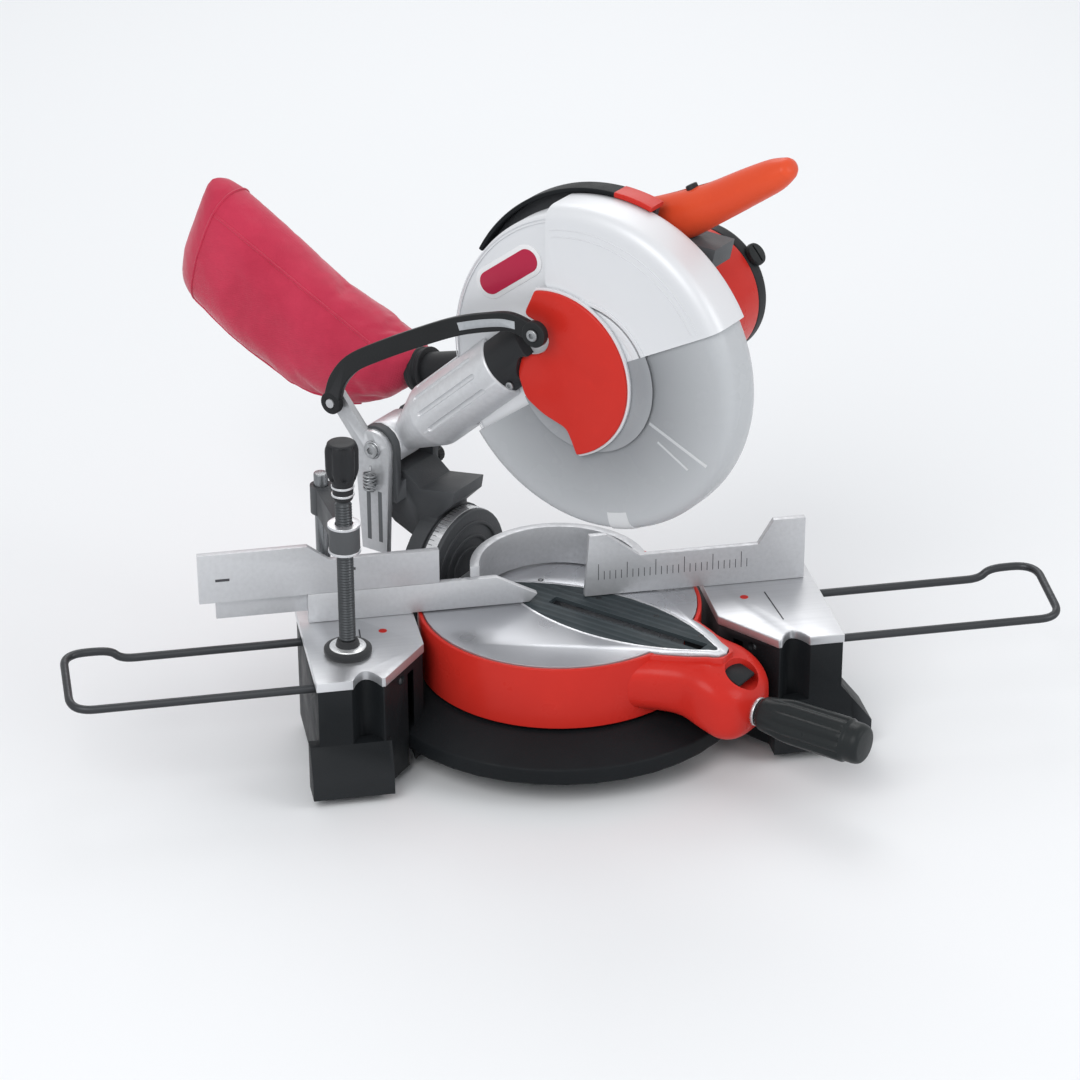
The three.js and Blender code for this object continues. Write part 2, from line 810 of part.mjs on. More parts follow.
function noseSolid(inset) {
  const rings = noseStations.map(([reachShare, half, low, drop]) => {
    const bottom = low + inset;
    const top = noseTop - drop - inset;
    const ring = [];
    for (let side = 0; side < boreSides; side += 1) {
      const turn = (side / boreSides) * 360 * degree;
      ring.push([
        reachShare * noseFront - inset * reachShare,
        (top + bottom) / 2 + roundness(Math.sin(turn), (top - bottom) / 2, 0.6),
        roundness(Math.cos(turn), half - inset, 0.6),
      ]);
    }
    return ring;
  });
  return loft(rings);
}

function turntableCover() {
  const inner = drumRadius + gap;
  const skirt = turned([
    [inner, skirtBottom], [skirtRadius, skirtBottom], [skirtRadius, skirtTop], [inner, skirtTop], [inner, skirtBottom],
  ], 'y', [0, 0, 0], roundSides);
  const rearGap = block(-2 * skirtRadius, -drumRadius / 2, 0, 2 * tableTop, -skirtRadius, skirtRadius);
  const drum = rod(inner, 'y', 0, 2 * tableTop, [0, 0, 0], roundSides);
  const nose = cut(noseSolid(0), drum);
  const tongueRoom = prism(lens(kerfMargin + gap), 'y', noseTop, tableTop + over);
  const bladeRoom = block(0, slotFront + 4, pocketFloor, tableTop + over, -pocketRight, noseRoomLeft);
  const leverRoom = block(
    leverAhead - leverRadius - 5, noseFront + over, leverHeight - leverRadius, tableTop,
    -leverWidth / 2 - 1, leverWidth / 2 + 1,
  );
  const shaftRoom = rod(gripShaftRadius + gap, 'x', noseFront - 50, noseFront + over, [0, gripHeight, 0], 16);
  return cut(join(skirt, nose), rearGap, tongueRoom, bladeRoom, leverRoom, shaftRoom);
}
add(carriage, 'turntable_cover', turntableCover(), red());

function detentLever() {
  const low = leverHeight - leverRadius + leverTravel;
  const back = leverAhead - leverRadius - 5 + gap;
  return prism(outline([
    [back, low], [back + leverThick, low], [leverAhead + leverRadius, low + 1],
    [leverAhead + leverRadius, low + 4], [leverAhead, low + leverThick], [back, low + leverThick + 3],
  ]), 'z', -leverWidth / 2, leverWidth / 2);
}
add(carriage, 'detent_lever', detentLever(), black());

add(carriage, 'grip_shaft', rod(gripShaftRadius, 'x', noseFront - 45, gripEnd - 20, [0, gripHeight, 0], 16), steel());

function grip() {
  const rings = [];
  const shares = [[0, 0.6], [0.03, 0.78], [0.12, 0.84], [0.2, 0.95], [0.85, 1], [0.9, 0.92], [0.97, 0.9], [1, 0.7]];
  const sides = gripFlutes * 3;
  for (const [alongShare, radiusShare] of shares) {
    const ring = [];
    const fluted = alongShare > 0.15 && alongShare < 0.88;
    for (let side = 0; side < sides; side += 1) {
      const turn = (side / sides) * 360 * degree;
      const dip = fluted && side % 3 === 0 ? gripFluteDepth : 0;
      const radius = gripRadius * radiusShare - dip;
      ring.push([
        gripStart + alongShare * (gripEnd - gripStart),
        gripHeight + radius * Math.sin(turn),
        radius * Math.cos(turn),
      ]);
    }
    rings.push(ring);
  }
  return cut(loft(rings), rod(gripShaftRadius + gap, 'x', 0, gripEnd - 20 + gap, [0, gripHeight, 0], 16));
}
add(carriage, 'turntable_grip', grip(), black());

// Bevel bracket behind the turntable, and the tilting arm on it
const bevelAxis = [0, tableTop, 0];
const bracketBack = -bracketFront;
const bracketSeat = -drumRear - gap;
function rearBracket() {
  const hub = rod(bevelHub, 'x', bracketBack, bracketSeat, bevelAxis, revolveSides);
  const bore = rod(bevelBoltRadius + gap, 'x', bracketBack - over, bracketSeat - 3, bevelAxis, 20);
  return cut(hub, bore);
}
add(carriage, 'rear_bracket', rearBracket(), darkGrey());

const armFront = bracketBack - gap;
const armBack = armFront - armHubThick;
const boltBack = armBack - leverBack - 2 * gap;
add(carriage, 'bevel_bolt', turned([
  [0, boltBack - bevelHeadThick], [bevelBoltHead, boltBack - bevelHeadThick], [bevelBoltHead, boltBack],
  [bevelBoltRadius, boltBack], [bevelBoltRadius, bracketSeat - 4], [0, bracketSeat - 4],
], 'x', bevelAxis, 20), steel());

function tiltingArm() {
  const hub = rod(bevelHub + 2, 'x', armBack, armFront, bevelAxis, revolveSides);
  const web = prism(outline([
    [armFront, tableTop], [armFront, tableTop + bevelHub], ...armWeb, [armBack, tableTop + 2 * leverRoot],
    [armBack, tableTop],
  ]), 'z', -webRight, webLeft);
  const earOutline = outline([
    [-pivotBehind - earRadius, earFoot], ...arc(-pivotBehind, pivotHeight, earRadius, 180, 0, 8),
    [-pivotBehind + earRadius, earFoot],
  ]);
  const rightEar = prism(earOutline, 'z', -earGapRight - earThick, -earGapRight);
  const leftEar = prism(earOutline, 'z', headHubLeft + gap, headHubLeft + gap + earThick);
  const foot = block(-pivotBehind - earRadius, -pivotBehind + earRadius, earFoot - 2, earFoot + footThick,
    -earGapRight - earThick, headHubLeft + gap + earThick);
  const shaftBore = rod(shaftRadius + gap, 'z', -shaftRoom, shaftRoom, [-pivotBehind, pivotHeight, 0], 20);
  const boltBore = rod(bevelBoltRadius + gap, 'x', armBack - over, armFront + over, bevelAxis, 20);
  const pinBore = rod(lockPinRadius + gap, 'z', -lockPinReach, 0, [-lockPinBehind, lockPinHeight, 0], 14);
  const hubRoom = rod(headHubRadius + 2, 'z', -earGapRight, headHubLeft + gap, [-pivotBehind, pivotHeight, 0], hubSides);
  return cut(join(cut(join(hub, web, foot), hubRoom), rightEar, leftEar), shaftBore, boltBore, pinBore);
}

function arc(x, y, radius, from, to, steps) {
  const points = [];
  for (let step = 0; step <= steps; step += 1) {
    points.push(polar(x, y, radius, from + ((to - from) * step) / steps));
  }
  return points;
}
add(tilting, 'tilting_arm', tiltingArm(), darkGrey());

function bevelLever() {
  const eye = rod(leverRoot, 'x', armBack - gap - leverBack, armBack - gap, bevelAxis, 20);
  const bar = prism(outline([
    [tableTop - leverRoot / 2, 0], [tableTop + leverRoot / 2, 0],
    [tableTop + leverRoot / 2 + 6, -leverLength], [tableTop - leverRoot / 2 + 8, -leverLength],
  ]), 'x', armBack - gap - leverBack, armBack - gap);
  return cut(join(eye, bar), rod(bevelBoltRadius + gap, 'x', armBack - 3 * leverBack, armBack + over, bevelAxis, 20));
}
add(tilting, 'bevel_lever', bevelLever(), black());

const bracketInner = headHubLeft + 2 * gap + earThick;
const bracketOuter = bracketInner + bracketThick;
function linkBracket() {
  const column = prism(outline([
    [-pivotBehind - 13, columnFoot], [-pivotBehind + 13, columnFoot], [-pivotBehind + 16, columnWaist],
    ...arc(-pivotBehind, pivotHeight, columnRadius, 0, 180, 8), [-pivotBehind - 17, columnWaist],
  ]), 'z', bracketInner, bracketOuter);
  const arm = prism(outline([
    [-pivotBehind - 4, pivotHeight - columnRadius + 2], [-pivotBehind - 4, pivotHeight + 12],
    ...arc(-linkBehind, linkPivotHeight, linkBoss, 60, 240, 6),
  ]), 'z', bracketInner, bracketOuter);
  const pin = rod(linkPinRadius, 'z', bracketInner, linkFace + linkThick + 1, [-linkBehind, linkPivotHeight, 0], 16);
  const bore = rod(shaftRadius + gap, 'z', 0, shaftRoom, [-pivotBehind, pivotHeight, 0], 20);
  return cut(join(column, arm, pin), bore);
}
add(tilting, 'link_bracket', linkBracket(), castGrey());

add(tilting, 'pivot_shaft', turned([
  [0, -earGapRight - earThick - gap - shaftHeadThick], [shaftHead, -earGapRight - earThick - gap - shaftHeadThick],
  [shaftHead, -earGapRight - earThick - gap], [shaftRadius, -earGapRight - earThick - gap],
  [shaftRadius, bracketOuter + 1], [0, bracketOuter + 1],
], 'z', [-pivotBehind, pivotHeight, 0], 20), steel());

function helix(radius, pitch, turns) {
  const points = [];
  const steps = turns * 8;
  for (let step = 0; step <= steps; step += 1) {
    const turn = (step / 8) * 360 * degree;
    points.push(new THREE.Vector3(
      -pivotBehind + radius * Math.cos(turn), pivotHeight + radius * Math.sin(turn),
      -earGapRight + springWire + gap + (step / 8) * pitch,
    ));
  }
  return new THREE.CatmullRomCurve3(points);
}

function selfGap(curve, wire) {
  const points = curve.getSpacedPoints(springTurns * springSamples);
  let least = Infinity;
  for (let one = 0; one < points.length; one += 1) {
    for (let two = one + springSamples / 2; two < points.length; two += 1) {
      least = Math.min(least, points[one].distanceTo(points[two]) - 2 * wire);
    }
  }
  return least;
}
const springCourse = helix(springRadius, springPitch, springTurns);
console.log(`return spring: least gap to itself ${selfGap(springCourse, springWire).toFixed(2)} mm, measured on points`);
add(tilting, 'return_spring', tube(springCourse, springWire, springTurns * 8, 5), steel());

add(tilting, 'head_lock_pin', turned([
  [0, -lockPinReach], [lockKnobRadius, -lockPinReach], [lockKnobRadius, -lockPinReach + lockKnobThick],
  [lockPinRadius, -lockPinReach + lockKnobThick], [lockPinRadius, -lockPinEnd], [0, -lockPinEnd],
], 'z', [-lockPinBehind, lockPinHeight, 0], 14), black());

// Revolved shells about the arbor: one cross section serves case, guard and hood
function shellBody(radius, half, wall, round, eye, from, to) {
  const bend = (corner, size, side) => {
    const [r, w] = corner;
    const points = [];
    for (let step = 0; step <= bendSteps; step += 1) {
      const share = step / bendSteps;
      const turn = (side > 0 ? 90 * (1 - share) : -90 * share) * degree;
      points.push([r - size + size * Math.cos(turn), side * (Math.abs(w) - size) + size * Math.sin(turn)]);
    }
    return points;
  };
  const outer = [...bend([radius, half], round, 1), ...bend([radius, -half], round, -1)];
  const inner = [...bend([radius - wall, half - wall], round - wall / 2, 1),
    ...bend([radius - wall, -half + wall], round - wall / 2, -1)];
  const profile = [[eye, half], ...outer, [eye, -half], [eye, -half + wall], ...inner.reverse(), [eye, half - wall]];
  profile.push(profile[0]);
  const ring = turned(profile, 'z', [arborAhead, arborHeight, 0], revolveSides);
  return ring.intersect(wedge(from, to, 2 * radius, 2 * half));
}

function wedge(from, to, reach, half) {
  const points = [[arborAhead, arborHeight], ...arc(arborAhead, arborHeight, reach, from, to, 6)];
  return prism(outline(points), 'z', -half, half);
}

const arbor = [arborAhead, arborHeight, 0];
function bladeCase() {
  const shell = shellBody(caseRadius, caseHalf, caseWall, caseRound, bossRadius - bossWall, caseFrom, caseTo);
  const bosses = [1, -1].map((side) => turned([
    [bossRadius - bossWall, side * (caseHalf - caseWall)], [bossRadius, side * (caseHalf - caseWall)],
    [bossRadius, side * bossFace], [bossRadius - bossWall, side * bossFace],
    [bossRadius - bossWall, side * (caseHalf - caseWall)],
  ], 'z', arbor, revolveSides));
  const web = rod(bossRadius - 1, 'z', -caseHalf, -caseHalf + caseWall, arbor, revolveSides);
  const bore = rod(flangeRadius + 2, 'z', -2 * bossFace, 0, arbor, hubSides);
  return cut(join(shell, ...bosses, web), bore);
}
add(head, 'blade_case', bladeCase(), white());

function frontHood() {
  const shell = shellBody(hoodRadius, bossFace, hoodWall, guardRound, guardEye, hoodFrom, hoodTo + 12);
  const rear = arborAhead + hoodRadius * Math.cos(hoodTo * degree);
  const keep = block(rear, arborAhead + 2 * hoodRadius, arborHeight - hoodRadius, arborHeight + 2 * hoodRadius,
    -2 * bossFace, 2 * bossFace);
  return shell.intersect(keep);
}
add(head, 'front_hood', frontHood(), white());

function coverOutline() {
  const place = (radiusShare, angle) => polar(coverAhead, coverHeight, coverRadius * radiusShare, angle);
  const points = [
    ...arc(coverAhead, coverHeight, coverRadius, 105, -71, 14),
    place(0.83, -72), place(0.67, -74), place(0.56, -104), place(0.55, -134), place(0.5, -165), place(0.46, 178),
    place(0.44, 160), place(0.3, 146), place(0.28, 110), place(0.42, 96), place(0.62, 108), place(0.76, 122),
  ];
  return outline(points);
}
const coverFace = bossFace + gap + coverThick;
add(head, 'centre_cover', prism(coverOutline(), 'z', bossFace + gap, coverFace, coverRound), red());

// Arm barrel with its conical rear end and the hub on the pivot shaft
function aimed(profile, sides) {
  const geometry = lathe(profile, 'x', sides);
  geometry.rotateZ(barrelPitch * degree);
  geometry.translate(barrelAhead, barrelHeight, barrelLeft);
  return solid(geometry);
}
const caseRoom = () => join(
  rod(caseRadius + gap, 'z', -3 * caseHalf, caseHalf + gap, arbor, roundSides),
  rod(bossRadius + gap, 'z', 0, bossFace + gap, arbor, revolveSides),
);

function headArm() {
  const barrel = aimed([
    [0, 0], [barrelRadius - 1, 0], [barrelRadius, -2], [barrelRadius, -barrelLength],
    [coneTip, -barrelLength - coneLength], [coneTip, -barrelLength - coneLength - neckLength + 8],
    [0, -barrelLength - coneLength - neckLength + 8],
  ], midSides);
  const grooves = [-18, 12, 42, 72].map((angle) => {
    const geometry = new THREE.CylinderGeometry(grooveRadius, grooveRadius, barrelLength - 2 * grooveInset, 8);
    geometry.rotateZ(90 * degree);
    const reach = barrelRadius + grooveRadius / 3;
    geometry.translate(-barrelLength / 2, reach * Math.sin(angle * degree), reach * Math.cos(angle * degree));
    geometry.rotateZ(barrelPitch * degree);
    geometry.translate(barrelAhead, barrelHeight, barrelLeft);
    return solid(geometry);
  });
  const pivot = [-pivotBehind, pivotHeight, 0];
  const hub = rod(headHubRadius, 'z', -headHubRight, headHubLeft, pivot, 28);
  const bore = rod(shaftRadius + gap, 'z', -2 * headHubRadius, 2 * headHubRadius, pivot, 20);
  return cut(join(barrel, hub), ...grooves, bore, caseRoom());
}
add(head, 'head_arm', headArm(), castGrey());

function armCollar() {
  const body = aimed([
    [0, gap], [collarRadius, gap], [collarRadius, collarLength], [0, collarLength],
  ], 32);
  return cut(body, caseRoom(), prism(coverOutline(), 'z', 0, 2 * coverFace));
}
add(head, 'arm_collar', armCollar(), black());

// Gear housing on the right of the case
const motorAxis = [motorAhead, motorHeight, 0];
const lockPlace = [arborAhead - 6, arborHeight - 33, 0];
function gearHousing() {
  const shieldPoints = [];
  for (let angle = plateFrom; angle <= plateTo; angle += 9.5) {
    shieldPoints.push(polar(arborAhead, arborHeight, platRadius, angle));
  }
  const shield = prism(outline([[arborAhead, arborHeight], ...shieldPoints]), 'z', -backFace - backPlate, -backFace);
  const ring = rod(guardEye, 'z', -backFace - backPlate, -backFace, arbor, midSides);
  const gearCase = join(
    rod(gearCaseRadius, 'z', -motorFace, -backFace - 1, arbor, hubSides),
    rod(motorRadius, 'z', -motorFace, -backFace - 1, motorAxis, revolveSides),
  );
  const yoke = prism(outline(yokeOutline), 'z', -motorFace - yokeRight, -motorFace + yokeLeft);
  const gearRoom = join(
    rod(spindleGear + 2, 'z', -gearRight - 3, -bearingThick - backFace + 1, arbor, hubSides),
    rod(pinionRadius + 2, 'z', -motorFace - over, -gearRight + gearThick + 2, motorAxis, boreSides),
    rod(bearingOuter + gap, 'z', -bearingThick - backFace - gap, -backFace + over, arbor, hubSides),
    rod(spindleRadius + gap, 'z', -spindleRight - gap, -backFace, arbor, 24),
  );
  const outlet = rod(nozzleRadius - nozzleWall, 'z', -backFace - 2 * backPlate, 0, [outletAhead, outletHeight, 0], hubSides);
  const motorRoom = rod(motorRadius + gap, 'z', -capEnd, -motorFace, motorAxis, revolveSides);
  const lockRoom = rod(shaftLockRadius + gap, 'z', -motorFace - over, -motorFace + 7, lockPlace, 14);
  const whole = join(cut(yoke, motorRoom), shield, ring, gearCase);
  return cut(whole, gearRoom, outlet, lockRoom);
}
add(head, 'gear_housing', gearHousing(), darkGrey());

add(head, 'shaft_lock', rod(shaftLockRadius, 'z', -motorFace - shaftLockReach, -motorFace + 2,
  lockPlace, 14), black());

add(head, 'spindle_bearing', turned([
  [spindleRadius + gap, -bearingThick - backFace], [bearingOuter, -bearingThick - backFace],
  [bearingOuter, -backFace], [spindleRadius + gap, -backFace], [spindleRadius + gap, -bearingThick - backFace],
], 'z', arbor, 28), steel());

function motorHousing() {
  const start = -motorFace - gap;
  const tubeBody = turned([
    [motorRadius - motorWall, -motorEnd], [motorRadius - 1, -motorEnd], [motorRadius, -motorEnd + 2],
    [motorRadius, start], [motorRadius - motorWall, start], [motorRadius - motorWall, -motorEnd],
  ], 'z', motorAxis, revolveSides);
  return tubeBody;
}
add(head, 'motor_housing', motorHousing(), red());

function motorCap() {
  const start = -motorEnd - gap;
  const body = turned([
    [0, -capEnd], [motorRadius - capRound, -capEnd], [motorRadius - capRound / 3, -capEnd + capRound / 3],
    [motorRadius, -capEnd + capRound], [motorRadius, start], [motorRadius - motorWall, start],
    [motorRadius - motorWall, -capEnd + capRound], [motorRadius - capRound - motorWall, -capEnd + motorWall],
    [armatureShaft + gap, -capEnd + motorWall], [armatureShaft + gap, -capEnd + motorWall - 2],
    [0, -capEnd + motorWall - 2],
  ], 'z', motorAxis, capSides);
  const bores = [40, 220].map((angle) => {
    const geometry = new THREE.CylinderGeometry(brushRadius - 3 + gap, brushRadius - 3 + gap, 30, smallSides);
    geometry.translate(0, motorRadius, 0);
    geometry.rotateZ((angle - 90) * degree);
    geometry.translate(motorAhead, motorHeight, -brushOut);
    return solid(geometry);
  });
  return cut(body, ...bores);
}
add(head, 'motor_end_cap', motorCap(), darkGrey());

function brushCap(angle) {
  const geometry = lathe([
    [0, motorRadius - 8], [brushRadius - 3, motorRadius - 8], [brushRadius - 3, motorRadius + 1],
    [brushRadius, motorRadius + 1], [brushRadius - 1, motorRadius + brushHead], [0, motorRadius + brushHead],
  ], 'y', 20);
  geometry.rotateZ((angle - 90) * degree);
  geometry.translate(motorAhead, motorHeight, -brushOut);
  return solid(geometry);
}
add(head, 'front_brush_cap', brushCap(40), black());
add(head, 'rear_brush_cap', brushCap(220), black());

function armature() {
  const shaft = rod(armatureShaft, 'z', -capEnd + motorWall - 2 + gap, -gearRight, motorAxis, 16);
  const pinion = rod(pinionRadius, 'z', -gearRight - 4, -gearRight + gearThick, motorAxis, 16);
  const core = rod(armatureRadius, 'z', -motorEnd + 6, -motorFace - 18, motorAxis, hubSides);
  const fan = rod(armatureRadius + 10, 'z', -motorFace - 14, -motorFace - 8, motorAxis, hubSides);
  return join(shaft, pinion, core, fan);
}
const motorGroup = new THREE.Group();
head.add(motorGroup);
add(motorGroup, 'armature', armature(), steel());

function cordGland() {
  const geometry = lathe([
    [0, motorRadius - glandRadius], [glandRadius, motorRadius - glandRadius], [glandRadius, motorRadius + glandRim],
    [glandRadius - glandTaper, motorRadius + glandLength], [0, motorRadius + glandLength],
  ], 'y', boreSides);
  geometry.rotateZ((glandAngle - 90) * degree);
  geometry.translate(motorAhead, motorHeight, -motorEnd + glandInset);
  return cut(solid(geometry), rod(motorRadius + gap, 'z', -capEnd, -motorFace, motorAxis, revolveSides));
}
add(head, 'cord_gland', cordGland(), rubber());

// Handle: two shells split along their length
function handleBody(inset) {
  const pitch = handlePitch * degree;
  const rings = handleStations.map(([s, z, tall, wide], index) => {
    const ring = [];
    const end = index === 0 || index === handleStations.length - 1;
    const pull = end ? inset * (index === 0 ? 1 : -1) : 0;
    for (let side = 0; side < 16; side += 1) {
      const turn = side * 22.5 * degree;
      const rise = (tall - inset) * Math.sin(turn);
      ring.push([
        s + pull - rise * Math.sin(pitch), z + pull / 2 + rise * Math.cos(pitch),
        -handleSplit + (wide - inset) * Math.cos(turn),
      ]);
    }
    return ring;
  });
  return loft(rings);
}

function triggerSlot(clear) {
  return prism(outline([
    [triggerAhead - 34 - clear, triggerHeight - 4 - clear], [triggerAhead + 22 + clear, triggerHeight + 22 - clear],
    [triggerAhead + 14 + clear, triggerHeight + 30 + clear], [triggerAhead - 38 - clear, triggerHeight + 6 + clear],
  ]), 'z', -handleSplit - triggerHalf - clear, -handleSplit + triggerHalf + clear);
}

const buttonPlace = [buttonAhead, buttonHeight, -handleSplit];
function buttonRod(radius, from, to) {
  const geometry = new THREE.CylinderGeometry(radius, radius, to - from, 14);
  geometry.translate(0, (from + to) / 2, 0);
  geometry.rotateZ(30 * degree);
  geometry.translate(...buttonPlace);
  return solid(geometry);
}

function handleShell(side) {
  const shell = cut(handleBody(0), handleBody(handleWall));
  const near = -handleSplit + (side * gap) / 2;
  const far = near + side * handleSplit;
  const keep = block(0, 2 * triggerAhead, arborHeight, 2 * arborHeight, Math.min(near, far), Math.max(near, far));
  const yokeRoom = prism(
    outline(yokeOutline.map(([s, z]) => [s + gap * Math.sign(s - yokeMiddle), z + gap])),
    'z', -motorFace - yokeRight - gap, -motorFace + yokeLeft + gap,
  );
  const buttonBore = buttonRod(buttonRadius + gap, -handleWall * 10, handleWall * 10);
  return cut(shell.intersect(keep), triggerSlot(gap), buttonBore, yokeRoom);
}
add(head, 'left_handle_shell', handleShell(1), orange());
add(head, 'right_handle_shell', handleShell(-1), orange());
add(head, 'trigger', triggerSlot(0), black());
add(head, 'lock_off_button', buttonRod(buttonRadius, -buttonIn, buttonOut), black());

// Dust outlet: a short bent pipe with the collar that holds the bag
function dustNozzle() {
  const root = [outletAhead, outletHeight];
  const bend = new THREE.CatmullRomCurve3([
    new THREE.Vector3(root[0], root[1], -backFace - backPlate - gap),
    new THREE.Vector3(root[0] - 4, root[1] - 1, -backFace - backPlate - 9),
    new THREE.Vector3(root[0] - 24, root[1] - 7, -nozzleRight),
    new THREE.Vector3(root[0] - 60, root[1] - 17, -nozzleRight),
    new THREE.Vector3(bagAhead + 8, bagHeight + 2, -nozzleRight),
  ]);
  const outer = tube(bend, nozzleRadius, 7, smallSides);
  const inner = tube(bend, nozzleRadius - nozzleWall, 7, smallSides);
  const collar = tube(new THREE.LineCurve3(
    new THREE.Vector3(bagAhead + 4 + collarWidth, bagHeight + 2 + collarWidth / 4, -nozzleRight),
    new THREE.Vector3(bagAhead + 4, bagHeight + 2, -nozzleRight),
  ), nozzleCollar, 1, 20);
  const trim = block(-2 * pivotBehind, 0, 0, 2 * arborHeight, -backFace - backPlate - gap, 0);
  return cut(join(outer, collar), inner, trim);
}
add(head, 'dust_nozzle', dustNozzle(), black());

function dustBag() {
  const turnTo = bagPitch * degree;
  const rings = bagStations.map(([along, low, high, wide]) => {
    const ring = [];
    for (let side = 0; side < boreSides; side += 1) {
      const turn = (side / boreSides) * 360 * degree;
      const rise = (low + high) / 2 + roundness(Math.sin(turn), (high - low) / 2, 0.7);
      ring.push([
        bagAhead + along * Math.cos(turnTo) + rise * Math.sin(turnTo),
        bagHeight + along * Math.sin(turnTo) - rise * Math.cos(turnTo),
        -nozzleRight + roundness(Math.cos(turn), wide, 0.8),
      ]);
    }
    return ring;
  });
  return cut(loft(rings), tube(new THREE.LineCurve3(
    new THREE.Vector3(bagAhead + 4 + 4 * collarWidth, bagHeight + 2 + collarWidth, -nozzleRight),
    new THREE.Vector3(bagAhead + 3, bagHeight + 2 - 0.25, -nozzleRight),
  ), nozzleCollar + gap, 1, 20));
}
add(head, 'dust_bag', dustBag(), crimson());

// Blade, clamped between the spindle's shoulder and the outer flange
function blade() {
  const points = [];
  for (let tooth = 0; tooth < bladeTeeth; tooth += 1) {
    const turn = (tooth * 360) / bladeTeeth;
    const pitch = 360 / bladeTeeth;
    points.push(polar(arborAhead, arborHeight, bladeRoot, turn - pitch * gulletStart));
    points.push(polar(arborAhead, arborHeight, bladeRoot, turn - pitch * gulletEnd));
    points.push(polar(arborAhead, arborHeight, bladeRadius, turn));
  }
  const body = prism(outline(points), 'z', -bladeHalf, bladeHalf);
  return cut(body, rod(spindleRadius + gap, 'z', -over, over, arbor, 28));
}
add(bladeGroup, 'blade', blade(), steel());

const flangeFace = bladeHalf + gap;
add(bladeGroup, 'outer_flange', turned([
  [boltShank + gap, flangeFace], [flangeRadius, flangeFace], [flangeRadius - 2, flangeFace + flangeHalf],
  [boltShank + gap, flangeFace + flangeHalf], [boltShank + gap, flangeFace],
], 'z', arbor, 28), steel());

add(bladeGroup, 'arbor_bolt', join(
  prism(disc(arborAhead, arborHeight, boltHead, 6), 'z', flangeFace + flangeHalf + gap,
    flangeFace + flangeHalf + gap + boltHeadThick),
  rod(boltShank, 'z', -boltDepth, flangeFace + flangeHalf + 1, arbor, 14),
), steel());

function spindle() {
  const shaft = rod(spindleRadius, 'z', -spindleRight, bladeHalf - gap, arbor, 24);
  const shoulder = rod(flangeRadius, 'z', -flangeFace - flangeHalf, -flangeFace, arbor, 28);
  const teeth = [];
  for (let side = 0; side < 2 * gearTeeth; side += 1) {
    const radius = side % 2 ? spindleGear : spindleGear - 2;
    teeth.push(polar(arborAhead, arborHeight, radius, (side * 180) / gearTeeth));
  }
  const gear = prism(outline(teeth), 'z', -gearRight, -backFace - bearingThick - gap);
  const bore = rod(boltShank + gap, 'z', -boltDepth - gap, over, arbor, 14);
  return cut(join(shaft, shoulder, gear), bore);
}
add(bladeGroup, 'spindle', spindle(), steel());

add(guardGroup, 'lower_guard',
  shellBody(guardRadius, guardHalf, guardWall, guardRound, guardEye, guardFrom, guardTo), smoke());

// Link that raises the guard: a bent bar from the bracket to the eye beside the centre cover
function guardLink() {
  const course = [[-linkBehind, linkPivotHeight], ...linkBends, [linkEyeAhead, linkEyeHeight]];
  const curve = new THREE.CatmullRomCurve3(course.map(([s, z]) => new THREE.Vector3(s, z, 0)));
  const upper = [];
  const lower = [];
  for (let step = 0; step <= linkSteps; step += 1) {
    const point = curve.getPoint(step / linkSteps);
    const tangent = curve.getTangent(step / linkSteps);
    upper.push([point.x - tangent.y * linkHalfWidth, point.y + tangent.x * linkHalfWidth]);
    lower.push([point.x + tangent.y * linkHalfWidth, point.y - tangent.x * linkHalfWidth]);
  }
  const bar = prism(outline([...upper, ...lower.reverse()]), 'z', linkFace, linkFace + linkThick);
  const eyes = join(
    rod(linkEyeRadius, 'z', linkFace, linkFace + linkThick, [linkEyeAhead, linkEyeHeight, 0], 24),
    rod(linkEyeRadius - 2, 'z', linkFace, linkFace + linkThick, [-linkBehind, linkPivotHeight, 0], 20),
    rod(linkHalfWidth, 'z', coverFace + gap, linkFace + linkThick + 3, [linkEyeAhead, linkEyeHeight, 0], 20),
  );
  return cut(join(bar, eyes), rod(linkPinRadius + gap, 'z', 0, 2 * linkFace, [-linkBehind, linkPivotHeight, 0], 16));
}
add(tilting, 'guard_link', guardLink(), black());

export default saw;
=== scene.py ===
import math

import bmesh
import bpy
from mathutils import Matrix, Vector, noise
from mathutils.bvhtree import BVHTree


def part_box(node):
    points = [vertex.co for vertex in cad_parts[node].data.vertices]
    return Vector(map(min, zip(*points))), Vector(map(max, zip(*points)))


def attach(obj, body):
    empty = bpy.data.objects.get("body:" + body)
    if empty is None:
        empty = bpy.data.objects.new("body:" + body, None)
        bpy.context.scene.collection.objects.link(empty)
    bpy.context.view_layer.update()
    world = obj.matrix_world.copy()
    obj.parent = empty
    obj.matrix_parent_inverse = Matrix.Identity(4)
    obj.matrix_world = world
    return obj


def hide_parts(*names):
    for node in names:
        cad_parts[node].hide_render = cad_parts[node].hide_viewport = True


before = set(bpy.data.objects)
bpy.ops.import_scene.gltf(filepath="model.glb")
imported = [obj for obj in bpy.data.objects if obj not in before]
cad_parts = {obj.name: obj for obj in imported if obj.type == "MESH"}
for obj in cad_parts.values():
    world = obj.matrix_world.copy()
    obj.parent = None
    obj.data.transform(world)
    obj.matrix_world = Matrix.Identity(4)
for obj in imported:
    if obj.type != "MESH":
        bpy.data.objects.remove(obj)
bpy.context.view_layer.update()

scene = bpy.context.scene

